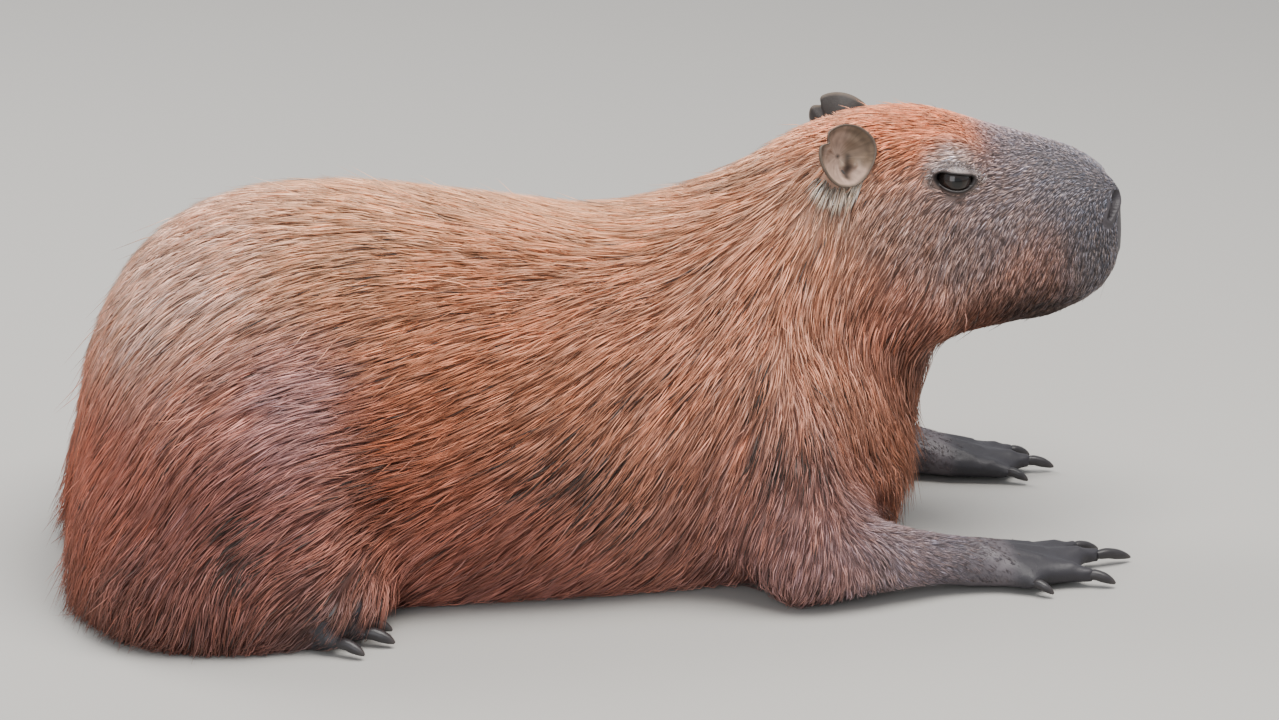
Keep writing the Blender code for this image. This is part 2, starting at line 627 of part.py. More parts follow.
def ear(name, s):
    """A thick cup, open outwards and a little forwards, with a notch at the back of its rim."""
    out = np.array(EAR_OUT) * (1, s, 1)
    out /= np.linalg.norm(out)
    up = np.array(EAR_UP) * (1, s, 1)
    up -= out * (up @ out)
    up /= np.linalg.norm(up)
    fore = np.cross(up, out) * s * -1
    turn = np.linspace(0, 2 * math.pi, 18, endpoint=False)
    notch = 1 - 0.20 * np.exp(-((turn - math.radians(EAR_NOTCH)) / 0.24) ** 2)
    wide, high = EAR_RADII
    across = wide * np.cos(turn) * notch * (1 + 0.10 * np.sin(turn))
    tall = high * np.sin(turn) * notch
    sweep = np.linspace(0.15, 1, 4)
    rings = []
    for part in (sweep, sweep[::-1]):
        wall = EAR_THICK if part is sweep else 0
        for v in part:
            share = math.sin(v * math.pi / 2)
            depth = -EAR_DEPTH * math.cos(v * math.pi / 2) - wall * (1 - v * 0.75)
            spread = 1 + wall * 0.5 * v / wide
            rings.append(np.array(EAR_AT) * (1, s, 1) + out * (depth - wall * 0.2)
                         + (np.outer(across, fore) + np.outer(tall, up)) * share * spread)
    return rings_object(name, np.array(rings))


def grown(source, name, by):
    """A copy of a smooth object with its surface moved outwards."""
    made = copy_of(source, name)
    mesh = made.data
    points = np.empty(len(mesh.vertices) * 3)
    normals = np.empty(len(mesh.vertices) * 3)
    mesh.vertices.foreach_get("co", points)
    mesh.vertex_normals.foreach_get("vector", normals)
    mesh.vertices.foreach_set("co", points + normals * by)
    mesh.update()
    return made


def small_nodes(nodes, flesh):
    """Eyes, ears and claws, each cut clear of what it grows from."""
    for side, s in SIDES.items():
        eye = (EYE_AT[0], EYE_AT[1] * s, EYE_AT[2])
        nodes["eye_" + side] = blob("eye_" + side, eye, (EYE_RADIUS,) * 3, **EYE_FACETS)
        nodes["ear_" + side] = combine(ear("ear_" + side, s), grown(flesh, "clear", GAP), "DIFFERENCE")
        toes = {"forefoot_" + side: FORE_TOES[side], "hindfoot_" + side: HIND_TOES}
        for foot, rows in toes.items():
            for number, (knuckle, tip, thick) in enumerate(rows, 1):
                name = "%s_claw_%d" % (foot, number)
                nodes[name] = claw(name, knuckle, tip, thick, s)
                socket = claw("socket", knuckle, tip, thick, s, grow=GAP)
                nodes[foot] = combine(nodes[foot], socket, "DIFFERENCE")
    return nodes


def coat_lie(point, normal):
    """The way the hair points at a place on the skin: the nearest guides' blend, laid on it."""
    side = 1 if point.y > 0 else -1
    blend = Vector((0, 0, 0))
    for place, way in LIE:
        apart = (Vector((point.x, abs(point.y), point.z)) - Vector(place)).length
        blend += Vector((way[0], way[1] * side, way[2])) / (apart + 0.01) ** 3
    blend -= normal * blend.dot(normal)
    return blend.normalized()


def lock_points(tree, root, length, width, turn):
    """Rings of a flat, tapered lock that starts under the skin, follows the lie of the coat and
    lifts off at its tip. A ring is its left edge, its ridge and its right edge."""
    place, normal = tree.find_nearest(root)[:2]
    way = coat_lie(place, normal)
    way.rotate(Matrix.Rotation(turn, 3, normal))
    rings = []
    reached = 0.0
    for t, wide, low, high in ((0.0, 0.66, -LOCK_SUNK, -0.10 * LOCK_SUNK),
                               (0.36, 1.00, -0.30 * LOCK_SUNK, 0.95 * LOCK_THICK),
                               (0.74, 0.66, 0.05 * LOCK_LIFT, 1.20 * LOCK_THICK)):
        while reached < t * length:
            place, normal, way = next_place(tree, place, normal, way, 0.012)
            reached += 0.012
        side = normal.cross(way) * (0.5 * width * wide)
        edges = [tree.find_nearest(place + side * s)[:2] for s in (-1, 1)]
        left, right = (at + out * low for at, out in edges)
        rings.append([left, place + normal * high, right])
    while reached < length:
        place, normal, way = next_place(tree, place, normal, way, 0.012)
        reached += 0.012
    rings.append([place + normal * LOCK_LIFT])
    return rings


def next_place(tree, place, normal, way, step):
    """One step along the skin, the way turning towards the lie of the coat there."""
    place, normal = tree.find_nearest(place + way * step)[:2]
    way = (way - normal * way.dot(normal)).normalized() * 0.55 + coat_lie(place, normal) * 0.45
    return place, normal, way.normalized()


def lock(name, rings):
    """A closed lock from its rings of three points and its tip."""
    points = [p for ring in rings for p in ring]
    tip = len(points) - 1
    faces = [(0, 2, 1)]
    for i in range(0, tip - 3, 3):
        for a, b in ((0, 1), (1, 2), (2, 0)):
            faces.append((i + a, i + b, i + 3 + b))
            faces.append((i + a, i + 3 + b, i + 3 + a))
    for a, b in ((0, 1), (1, 2), (2, 0)):
        faces.append((tip - 3 + a, tip - 3 + b, tip))
    return mesh_object(name, points, faces)


def clear_of(point, others):
    """True where a point lies outside every other node, by the clearance of the locks: a line
    upwards from it then crosses their surfaces an even number of times."""
    if (others.find_nearest(point)[0] - point).length < LOCK_CLEAR:
        return False
    crossings = 0
    hit = others.ray_cast(point, UP)[0]
    while hit is not None:
        crossings += 1
        hit = others.ray_cast(hit + UP * 1e-6, UP)[0]
    return crossings % 2 == 0


def lock_fits(rings, others):
    """True where the lock stays clear of the floor and of every other node."""
    points = [point for ring in rings for point in ring]
    for near, far in zip(rings, rings[1:]):
        for k, point in enumerate(near):
            points.append(point.lerp(far[min(k, len(far) - 1)], 0.5))
    for ring in rings[:-1]:
        points += [ring[0].lerp(ring[2], t) for t in (0.25, 0.5, 0.75)]
    return all(point.z > LOCK_CLEAR and clear_of(point, others) for point in points)


def spread_roots(made, skin, count, draw):
    """Places over a node's outer skin, evenly apart: closer across the coat than along it."""
    mesh = made.data
    mesh.calc_loop_triangles()
    outer = []
    for face in mesh.loop_triangles:
        corners = [mesh.vertices[i].co for i in face.vertices]
        middle = (corners[0] + corners[1] + corners[2]) / 3
        if middle.z > 0.010 and (skin.find_nearest(middle)[0] - middle).length < 0.0005:
            outer.append((corners, face.normal.copy(), face.area))
    cell = math.sqrt(sum(area for _, _, area in outer) / count)
    chosen = []
    for (a, b, c), normal, _ in draw.choices(outer, [face[2] for face in outer], k=count * 80):
        u, v = draw.random(), draw.random()
        if u + v > 1:
            u, v = 1 - u, 1 - v
        place = a + (b - a) * u + (c - a) * v
        way = coat_lie(place, normal)
        for other in chosen:
            apart = other - place
            along = apart.dot(way)
            across = (apart - way * along).length
            if (along / (1.05 * cell)) ** 2 + (across / (0.62 * cell)) ** 2 < 1:
                break
        else:
            chosen.append(place)
    return chosen


def with_locks(nodes, skin):
    """Grows the locks of the long coat on the nodes that carry them, fused in one union each."""
    draw = random.Random(SEED)
    for name, (count, length, width) in LOCKS.items():
        others = joined("others", [copy_of(made, "other") for key, made in nodes.items() if key != name])
        others_tree = surface_tree(others)
        bpy.data.objects.remove(others)
        tufts = bpy.data.collections.new("locks")
        bpy.context.scene.collection.children.link(tufts)
        for place in spread_roots(nodes[name], skin, count, draw):
            long = length * draw.uniform(0.85, 1.15)
            wide = width * draw.uniform(0.85, 1.15)
            turn = draw.uniform(-0.18, 0.18)
            for share in LOCK_LENGTHS:
                rings = lock_points(skin, place, long * share, wide * (0.4 + 0.6 * share), turn)
                if lock_fits(rings, others_tree):
                    made = lock("lock", rings)
                    tufts.objects.link(made)
                    bpy.context.scene.collection.objects.unlink(made)
                    break
        step = nodes[name].modifiers.new("locks", "BOOLEAN")
        step.operation = "UNION"
        step.operand_type = "COLLECTION"
        step.collection = tufts
        step.solver = "MANIFOLD"
        nodes[name] = evaluated_copy(nodes[name], name)
        for made in list(tufts.objects):
            bpy.data.objects.remove(made)
        bpy.data.collections.remove(tufts)
    return nodes


def finish_of(name):
    for word, finish in (("claw", "claw"), ("eye", "eye"), ("ear", "ear_skin"), ("head", "face"),
                         ("foot", "bare_skin")):
        if word in name:
            return finish
    return "coat"


def painted(made):
    """Gives a node its own material."""
    colour, rough = FINISHES[finish_of(made.name)]
    material = bpy.data.materials.new(made.name)
    material.use_nodes = True
    shader = material.node_tree.nodes["Principled BSDF"]
    shader.inputs["Base Color"].default_value = (*colour, 1)
    shader.inputs["Roughness"].default_value = rough
    shader.inputs["Metallic"].default_value = 0
    made.data.materials.clear()
    made.data.materials.append(material)


def stand_on_origin(nodes):
    """Moves the whole animal so that its box's bottom centre is the origin."""
    corners = []
    for made in nodes.values():
        points = np.array([v.co for v in made.data.vertices])
        corners += [points.min(0), points.max(0)]
    low, high = np.min(corners, axis=0), np.max(corners, axis=0)
    middle = (low + high) / 2
    print("box", low.round(4), high.round(4), "shift", middle[:2].round(5))
    for made in nodes.values():
        made.data.transform(Matrix.Translation((-middle[0], -middle[1], 0)))


def clear_scene():
    for old in list(bpy.data.objects):
        bpy.data.objects.remove(old)


def main():
    clear_scene()
    flesh = fused_flesh()
    nodes = body_nodes(flesh)
    skin = surface_tree(flesh)
    nodes["head"] = head_details(nodes["head"], skin)
    nodes = small_nodes(nodes, flesh)
    nodes = with_locks(nodes, skin)
    bpy.data.objects.remove(flesh)
    animal = bpy.data.collections.new("capybara")
    bpy.context.scene.collection.children.link(animal)
    for name, made in nodes.items():
        made.name = name
        largest_shell(made)
        painted(made)
        made.data.shade_smooth()
        animal.objects.link(made)
        bpy.context.scene.collection.objects.unlink(made)
    stand_on_origin(nodes)
    for name, made in nodes.items():
        made.data.calc_loop_triangles()
        print(name, len(made.data.loop_triangles))


main()
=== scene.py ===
# A capybara lying on its belly with its head up, as a life-size display model.
# Its forms are worked out on grids of two parameters and fused into one skin, then the coat is grown on it.
import itertools
import math

import bmesh
import bpy
import numpy as np
from mathutils import Matrix, Vector
from mathutils.bvhtree import BVHTree
from mathutils.kdtree import KDTree


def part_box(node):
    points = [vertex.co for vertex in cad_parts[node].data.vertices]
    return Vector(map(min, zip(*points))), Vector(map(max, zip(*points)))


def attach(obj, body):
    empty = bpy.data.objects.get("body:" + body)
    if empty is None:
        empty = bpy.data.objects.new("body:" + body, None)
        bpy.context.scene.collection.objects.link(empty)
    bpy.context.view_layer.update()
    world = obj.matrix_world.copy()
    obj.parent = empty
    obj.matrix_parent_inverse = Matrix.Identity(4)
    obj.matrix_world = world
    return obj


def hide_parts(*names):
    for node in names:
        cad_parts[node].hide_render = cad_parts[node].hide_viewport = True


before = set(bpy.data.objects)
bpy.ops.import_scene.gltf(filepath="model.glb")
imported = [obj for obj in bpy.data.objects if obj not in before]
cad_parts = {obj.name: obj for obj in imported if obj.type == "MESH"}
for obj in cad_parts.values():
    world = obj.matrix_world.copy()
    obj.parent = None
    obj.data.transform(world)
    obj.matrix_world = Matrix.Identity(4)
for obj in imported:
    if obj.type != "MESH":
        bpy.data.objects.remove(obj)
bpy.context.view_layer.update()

eyes = {
    "centre": (0.2575, 0.0470, 0.3245),   # y outwards, in the animal's own coordinates
    "radius": 0.0145,
    "rearCorner": (0.2407, 0.3291),       # x and z
    "frontCorner": (0.2738, 0.3246),
    "above": 0.0050,                      # how far the opening rises over the line between its corners
    "below": 0.0096,
    "hollowHigh": 0.0105, "hollowDeep": 0.0105,      # the hollow that the eye lies in
    "lidReach": 0.0135,                   # how far a lid runs out over the skin
    "bulge": 0.018,                       # of the cornea, as a share of the radius
    "ball": (26, 20, 18), "iris": (30, 19, 14), "pupil": (6, 5, 5),
}

# The frame's origin lies under the middle of the box, so every place is moved by this to meet it
eyeLow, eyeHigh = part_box("eye_r")
toFrame = (np.array(eyeLow) + np.array(eyeHigh)) / 2 - np.array(eyes["centre"]) * (1, -1, 1)
sides = {"r": -1, "l": 1}
draw = np.random.default_rng(7)
eyeRear, eyeFront = np.array(eyes["rearCorner"]), np.array(eyes["frontCorner"])
eyeMiddle = (eyeRear + eyeFront) / 2
eyeHalf = np.linalg.norm(eyeFront - eyeRear) / 2
eyeWay = (eyeFront - eyeRear) / (2 * eyeHalf)


def smooth(value, start=0.0, end=1.0):
    # 0 before start, 1 after end, an S-shaped rise between
    t = np.clip((value - start) / (end - start), 0, 1)
    return t * t * (3 - 2 * t)


def bell(value, middle, reach):
    return np.exp(-((value - middle) / reach) ** 2)


def unit(vectors):
    return vectors / np.maximum(np.linalg.norm(vectors, axis=-1, keepdims=True), 1e-9)


def folded(points):
    # both sides laid on the left one, so that a place is described once
    return points * (1, 0, 1) + np.abs(points) * (0, 1, 0)


def inMetres(rows, s=1):
    # rows of millimetres (x, y outwards, z and two half widths) on the side s
    return np.array(rows) / 1000 * (1, s, 1, 1, 1)


def linear(colour):
    # a colour of 0 to 255 as seen on a screen, as the light it stands for
    share = np.asarray(colour, float) / 255
    return np.where(share < 0.04045, share / 12.92, ((share + 0.055) / 1.055) ** 2.4)


def mixed(base, colour, share):
    # the base's colours moved towards the given one by a share
    return base + (linear(colour) - base) * share[:, None]


def plain(colour, points):
    return np.tile(linear(colour), (len(points), 1))


def smoothCurve(points):
    # a cubic through (position, value) points whose slopes never let it overshoot them
    xs, ys = np.array(points, float).T
    gaps = np.diff(xs)
    slopes = np.diff(ys) / gaps
    tangents = np.r_[slopes[0], np.zeros(len(xs) - 2), slopes[-1]]
    rising = slopes[:-1] * slopes[1:] > 0
    before = 2 * gaps[1:] + gaps[:-1]
    after = gaps[1:] + 2 * gaps[:-1]
    safe = np.where(rising, 1, np.nan)
    mean = (before + after) / (before / (slopes[:-1] * safe) + after / (slopes[1:] * safe))
    tangents[1:-1] = np.nan_to_num(mean)

    def value(x):
        x = np.clip(np.asarray(x, float), xs[0], xs[-1])
        i = np.clip(np.searchsorted(xs, x) - 1, 0, len(xs) - 2)
        t = (x - xs[i]) / gaps[i]
        return ((1 + 2 * t) * (1 - t) ** 2 * ys[i] + t * (1 - t) ** 2 * gaps[i] * tangents[i]
                + t * t * (3 - 2 * t) * ys[i + 1] + t * t * (t - 1) * gaps[i] * tangents[i + 1])

    return value


def valueNoise(points, size, seed):
    # random values on a grid of that size, blended smoothly between its corners, -1 to 1
    scaled = points / size + 1000.0
    cell = np.floor(scaled).astype(np.int64)
    share = smooth(scaled - cell)
    total = np.zeros(len(points))
    for corner in range(8):
        step = np.array([corner & 1, corner >> 1 & 1, corner >> 2 & 1])
        x, y, z = (cell + step).T
        key = (x * 73856093) ^ (y * 19349663) ^ (z * 83492791) ^ (seed * 2654435761)
        key = (key ^ (key >> 13)) * 1274126177 & 0x7FFFFFFF
        total += (key / 0x3FFFFFFF - 1) * np.prod(np.where(step, share, 1 - share), axis=1)
    return total


def facingOut(points, triangles):
    # the signed volume tells whether the triangles point out; if not they are turned round
    a, b, c = (points[triangles[:, k]] for k in range(3))
    return triangles if np.einsum("ij,ij->", a, np.cross(b, c)) > 0 else triangles[:, ::-1]


def ringSurface(rings, closed=True):
    # rings of equally many points joined into walls, with a fan over each end when closed
    count, around = rings.shape[:2]
    i, j = np.meshgrid(np.arange(count - 1), np.arange(around), indexing="ij")
    k = (j + 1) % around
    a, b = i * around + j, i * around + k
    triangles = np.concatenate([np.stack([a, b, b + around], -1).reshape(-1, 3),
                                np.stack([a, b + around, a + around], -1).reshape(-1, 3)])
    points = rings.reshape(-1, 3)
    if closed:
        j, k = j[0], k[0]
        last = (count - 1) * around
        points = np.vstack([points, rings[0].mean(0), rings[-1].mean(0)])
        first = np.full(around, count * around)
        triangles = np.concatenate([triangles, np.stack([first, k, j], -1),
                                    np.stack([first + 1, last + j, last + k], -1)])
        triangles = facingOut(points, triangles)
    return points, triangles


def stacked(surfaces):
    # several surfaces as one set of points and triangles
    starts = np.cumsum([0] + [len(points) for points, _ in surfaces[:-1]])
    return (np.vstack([points for points, _ in surfaces]),
            np.vstack([triangles + start for start, (_, triangles) in zip(starts, surfaces)]))


def meshOf(name, points, triangles):
    mesh = bpy.data.meshes.new(name)
    mesh.vertices.add(len(points))
    mesh.vertices.foreach_set("co", points.astype(np.float32).ravel())
    mesh.loops.add(triangles.size)
    mesh.loops.foreach_set("vertex_index", triangles.astype(np.int32).ravel())
    mesh.polygons.add(len(triangles))
    mesh.polygons.foreach_set("loop_start", np.arange(0, triangles.size, 3, dtype=np.int32))
    mesh.update(calc_edges=True)
    return mesh


def looseObject(mesh):
    made = bpy.data.objects.new(mesh.name, mesh)
    bpy.context.scene.collection.objects.link(made)
    return made


def applied(made):
    # the mesh as its modifiers leave it; the object goes
    graph = bpy.context.evaluated_depsgraph_get()
    mesh = bpy.data.meshes.new_from_object(made.evaluated_get(graph))
    bpy.data.objects.remove(made)
    return mesh


def arraysOf(mesh):
    mesh.calc_loop_triangles()
    points = np.empty(len(mesh.vertices) * 3, np.float32)
    mesh.vertices.foreach_get("co", points)
    triangles = np.empty(len(mesh.loop_triangles) * 3, np.int32)
    mesh.loop_triangles.foreach_get("vertices", triangles)
    return points.reshape(-1, 3).astype(float), triangles.reshape(-1, 3)


def normalsOf(points, triangles):
    # at each point, the mean of its triangles' normals, each counted by its area
    a, b, c = (points[triangles[:, k]] for k in range(3))
    face = np.cross(b - a, c - a)
    total = np.zeros_like(points)
    for k in range(3):
        for axis in range(3):
            total[:, axis] += np.bincount(triangles[:, k], face[:, axis], len(points))
    return unit(total)


def relaxed(points, triangles, rounds, share):
    # each point moves towards the middle of its neighbours, by its own share of the way
    ends = np.sort(triangles[:, [0, 1, 1, 2, 2, 0]].reshape(-1, 2), axis=1)
    a, b = np.unique(ends, axis=0).T
    degree = np.maximum(np.bincount(np.r_[a, b], minlength=len(points)), 1)[:, None]
    points = points.copy()
    for _ in range(rounds):
        total = np.stack([np.bincount(a, points[b, k], len(points)) + np.bincount(b, points[a, k], len(points))
                          for k in range(3)], 1)
        points += 0.5 * share[:, None] * (total / degree - points)
    return points


def finish(name, points, triangles, material, replaced=(), tone=None, spots=None):
    # a finished piece in the frame: smooth, coloured point by point, riding on the body
    mesh = meshOf(name, points + toFrame, triangles)
    mesh.shade_smooth()
    mesh.materials.append(material)
    if tone is not None:
        rgba = np.concatenate([tone, np.ones((len(tone), 1))], 1).astype(np.float32)
        mesh.color_attributes.new("tone", "FLOAT_COLOR", "POINT").data.foreach_set("color", rgba.ravel())
    if spots is not None:
        mesh.uv_layers.new(name="OFBake").data.foreach_set("uv", spots.astype(np.float32).ravel())
    piece = looseObject(mesh)
    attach(piece, "root")
    if replaced:
        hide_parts(*replaced)


print("stage: forms")

body = {
    "rumpX": -0.478, "chestX": 0.236, "noseX": 0.411,
    "loinZ": 0.329, "barrelWide": 0.178, "cheekWide": 0.072, "muzzleWide": 0.053,
    "underFloor": -0.03,      # where soft forms end before the floor flattens them
    "headCut": (0.19, 0.26, 35.8),   # x, z and lean of the plane behind the jaw
    "knee": (-0.235, 0.13),   # x and z where the thigh stands off the flank
    "lipBack": 0.009,         # how far the front of the lips leans back under the nose
    "voxel": 0.0053,
    "relaxRounds": 52,
    "floorGap": 0.0012,       # how high over the floor the skin is cut flat
}


def oval(angles, power):
    # cosine and sine of a superellipse: power 2 is round, more is boxier
    c, s = np.cos(angles), np.sin(angles)
    return np.sign(c) * np.abs(c) ** (2 / power), np.sign(s) * np.abs(s) ** (2 / power)


def trunkForm(start, end, top, bottom, wide, level, powers, tail, nose, tailZ, noseZ, middle=None):
    # along x, each section is an upper and a lower half oval that share their widest line
    x = start + (end - start) * (0.5 - 0.5 * np.cos(np.linspace(0, math.pi, 90)))
    share = np.ones_like(x)
    for distance, (depth, power) in ((x - start, tail), (end - x, nose)):
        share *= (1 - np.clip((depth - distance) / depth, 0, 1) ** power) ** (1 / power)
    share = np.maximum(share, 0.004)
    closing = np.where(x < (start + end) / 2, tailZ, noseZ)
    high = closing + (smoothCurve(top)(x) - closing) * share
    low = closing + (smoothCurve(bottom)(x) - closing) * share
    half = smoothCurve(wide)(x) * share
    waist = low + (high - low) * smoothCurve(level)(x)
    centre = smoothCurve(middle)(x) if middle else np.zeros_like(x)
    angles = (np.arange(72) + 0.5) * 2 * math.pi / 72
    upper, lower = oval(angles, powers[0]), oval(angles, powers[1])
    above = np.sin(angles) > 0
    across, rise = np.where(above, upper[0], lower[0]), np.where(above, upper[1], lower[1])
    reach = np.where(above, (high - waist)[:, None], (waist - low)[:, None])
    return ringSurface(np.stack([np.repeat(x[:, None], 72, 1), centre[:, None] + half[:, None] * across,
                                 waist[:, None] + reach * rise], axis=2))


def tubeForm(path, up=(0, 0, 1), power=2.0, steps=40, around=32, roundEnds=True):
    # a tube through (x, y, z, half width, half height) points; up sets the side of its height
    rows = np.array(path, float)
    run = np.r_[0, np.cumsum(np.linalg.norm(np.diff(rows[:, :3], axis=0), axis=1))]
    endDepth = 0.5 * (rows[0, 3] + rows[-1, 3]) / run[-1]
    t = 0.5 - 0.5 * np.cos(np.linspace(0, math.pi, steps))
    columns = [smoothCurve(np.stack([run, rows[:, k]], 1))(t * run[-1]) for k in range(5)]
    centre = np.stack(columns[:3], 1)
    along = unit(np.gradient(centre, axis=0))
    side = unit(np.cross(along, np.array(up, float)))
    tall = np.cross(side, along)
    share = np.ones_like(t)
    if roundEnds:
        for distance in (t, 1 - t):
            share *= np.sqrt(1 - np.clip((endDepth - distance) / endDepth, 0, 1) ** 2)
        share = np.maximum(share, 0.02)
    c, s = oval(np.linspace(0, 2 * math.pi, around, endpoint=False), power)
    return ringSurface(centre[:, None, :]
                       + side[:, None, :] * ((columns[3] * share)[:, None] * c)[..., None]
                       + tall[:, None, :] * ((columns[4] * share)[:, None] * s)[..., None])


def turned(angles):
    return np.array(Matrix.Rotation(math.radians(angles[2]), 3, "Z")
                    @ Matrix.Rotation(math.radians(angles[1]), 3, "Y")
                    @ Matrix.Rotation(math.radians(angles[0]), 3, "X"))


def ovalForm(centre, radii, turn=(0, 0, 0), steps=36, around=48):
    # an ellipsoid on a grid of latitude and longitude, turned about its middle
    latitude = np.linspace(0.02, math.pi - 0.02, steps)[:, None]
    longitude = np.linspace(0, 2 * math.pi, around, endpoint=False)[None, :]
    grid = np.stack([np.sin(latitude) * np.cos(longitude), np.sin(latitude) * np.sin(longitude),
                     np.cos(latitude) * np.ones_like(longitude)], -1) * radii
    return ringSurface(grid @ turned(turn).T + centre)


def trunkForms():
    rump, chest, under = body["rumpX"], body["chestX"], body["underFloor"]
    barrel = trunkForm(
        rump, chest,
        top=[(rump, 0.30), (-0.40, 0.322), (-0.27, body["loinZ"]), (-0.16, 0.316), (-0.03, 0.294),
             (0.05, 0.284), (0.12, 0.255), (0.19, 0.215), (chest, 0.17)],
        bottom=[(rump, under), (0.12, under), (chest, 0.0)],
        wide=[(rump, 0.165), (-0.36, 0.176), (-0.10, body["barrelWide"]), (0.04, 0.168),
              (0.14, 0.142), (chest, 0.112)],
        level=[(rump, 0.40), (0.05, 0.42), (chest, 0.45)],
        powers=(2.15, 2.7), tail=(0.20, 2.6), nose=(0.10, 2.4), tailZ=0.085, noseZ=0.10,
        middle=[(rump, -0.018), (-0.20, -0.008), (0.05, 0.0), (chest, 0.0)])
    nape = trunkForm(
        -0.20, 0.262,
        top=[(-0.20, 0.292), (-0.10, 0.300), (-0.03, 0.2985), (0.03, 0.309), (0.075, 0.329),
             (0.12, 0.353), (0.17, 0.366), (0.262, 0.350)],
        bottom=[(-0.20, 0.12), (0.05, 0.10), (0.15, 0.115), (0.262, 0.175)],
        wide=[(-0.20, 0.075), (-0.06, 0.118), (0.04, 0.122), (0.12, 0.100), (0.19, 0.076), (0.262, 0.060)],
        level=[(-0.20, 0.45), (0.262, 0.45)],
        powers=(2.0, 2.2), tail=(0.16, 2.0), nose=(0.06, 2.0), tailZ=0.22, noseZ=0.25)
    throat = tubeForm(inMetres([(130, 0, 170, 78, 90), (188, 0, 180, 70, 90), (230, 0, 212, 55, 70)]), up=(-0.6, 0, 1))
    return [barrel, nape, throat]


def headForms():
    nose = body["noseX"]
    made = [trunkForm(
        0.105, nose,
        top=[(0.105, 0.345), (0.145, 0.360), (0.190, 0.371), (0.225, 0.373), (0.260, 0.369),
             (0.295, 0.358), (0.330, 0.348), (0.365, 0.336), (0.390, 0.325), (nose, 0.316)],
        bottom=[(0.105, 0.20), (0.18, 0.175), (0.235, 0.168), (0.275, 0.178), (0.315, 0.186),
                (0.350, 0.195), (0.385, 0.204), (nose, 0.212)],
        wide=[(0.105, 0.066), (0.165, 0.070), (0.205, body["cheekWide"]), (0.245, 0.067), (0.285, 0.059),
              (0.330, 0.052), (0.370, body["muzzleWide"]), (nose, 0.048)],
        level=[(0.105, 0.50), (0.22, 0.42), (0.33, 0.38), (nose, 0.40)],
        powers=(2.6, 2.5), tail=(0.05, 2.0), nose=(0.040, 2.4), tailZ=0.28, noseZ=0.265)]
    for s in sides.values():
        made += [ovalForm((0.214, 0.046 * s, 0.224), (0.060, 0.031, 0.052), (0, 18, 6 * s)),     # jaw
                 ovalForm((0.254, 0.043 * s, 0.342), (0.040, 0.019, 0.020), (0, 10, -8 * s)),    # brow
                 ovalForm((0.368, 0.028 * s, 0.243), (0.036, 0.028, 0.036), (0, 14, 0)),         # whisker pad
                 ovalForm((0.380, 0.023 * s, 0.294), (0.028, 0.023, 0.027), (0, 25, 0))]         # nose
    made.append(ovalForm((0.334, 0, 0.208), (0.046, 0.033, 0.022), (0, -8, 0)))                   # chin
    return made


def legForms(s):
    return [ovalForm((-0.334, 0.130 * s - 0.004, 0.114), (0.112, 0.094, 0.122), (0, 6, 4 * s)),   # thigh
            ovalForm((-0.345, 0.160 * s - 0.010, 0.042), (0.124, 0.080, 0.080)),                  # shank
            ovalForm((-0.412, 0.080 * s - 0.014, 0.050), (0.078, 0.095, 0.110)),                  # buttock
            tubeForm(inMetres([(45, 86, 215, 60, 80), (80, 122, 135, 56, 74), (100, 160, 60, 48, 64),
                               (100, 174, 22, 44, 58)], s), up=(1, 0, 0)),                        # upper arm
            tubeForm(inMetres([(70, 172, 32, 46, 42), (140, 169, 38, 42, 40), (195, 157, 32, 35, 31),
                               (245, 146, 23, 26, 22), (290, 140, 19, 25, 18)], s))]              # forearm


feet = {
    # toes of a forefoot: knuckle and claw tip as (x, y outwards), then thickness
    "foreToes": {
        "r": [((0.314, 0.112), (0.381, 0.083), 0.0095), ((0.322, 0.130), (0.404, 0.106), 0.0105),
              ((0.318, 0.150), (0.378, 0.166), 0.0105), ((0.280, 0.157), (0.322, 0.184), 0.0092)],
        "l": [((0.310, 0.112), (0.357, 0.095), 0.0095), ((0.320, 0.130), (0.387, 0.128), 0.0105),
              ((0.316, 0.148), (0.372, 0.162), 0.0105), ((0.278, 0.156), (0.328, 0.185), 0.0092)],
    },
    "hindToes": [((-0.285, 0.190), (-0.226, 0.200), 0.0110), ((-0.290, 0.206), (-0.226, 0.228), 0.0120),
                 ((-0.305, 0.220), (-0.252, 0.252), 0.0110)],
    "foreReach": 0.79, "hindReach": 0.77,      # where a toe's flesh ends on the way to the tip of its claw
    "wrist": (0.252, 0.144),
    "tendonRise": 0.0020, "jointRise": 0.0009,
}


def toeForm(knuckle, tip, thick, s, reach):
    # slim behind each joint and full at it, tapering towards the claw
    start = np.array([knuckle[0], knuckle[1] * s, 0.017])
    run = np.array([tip[0] - knuckle[0], (tip[1] - knuckle[1]) * s, -0.010])
    rows = [(*(start + run * t * reach), thick * size, thick * size * 1.05)
            for t, size in ((0.0, 1.0), (0.25, 0.90), (0.45, 0.92), (0.62, 0.80), (0.85, 0.72), (1.0, 0.54))]
    return tubeForm(rows, steps=26, around=24)


def footForms(side, s):
    # a palm that widens to the web between its toes, and a sole
    made = [tubeForm(inMetres([(225, 148, 26, 29, 25), (255, 144, 21, 26, 20), (285, 140, 17, 31, 17),
                               (310, 136, 14, 35, 14), (330, 134, 11, 34, 11), (346, 132, 9, 29, 8),
                               (360, 131, 7, 19, 6)], s), power=2.3),
            tubeForm(inMetres([(-445, 160, 20, 26, 24), (-360, 178, 18, 34, 22), (-290, 205, 14, 36, 18)], s))]
    made += [toeForm(*toe, s, feet["foreReach"]) for toe in feet["foreToes"][side]]
    return made + [toeForm(*toe, s, feet["hindReach"]) for toe in feet["hindToes"]]


headLean = math.radians(body["headCut"][2])
headWay = np.array([math.cos(headLean), 0, math.sin(headLean)])


def aheadOf(points):
    # metres in front of the plane behind the jaw
    return (points - (body["headCut"][0], 0, body["headCut"][1])) @ headWay


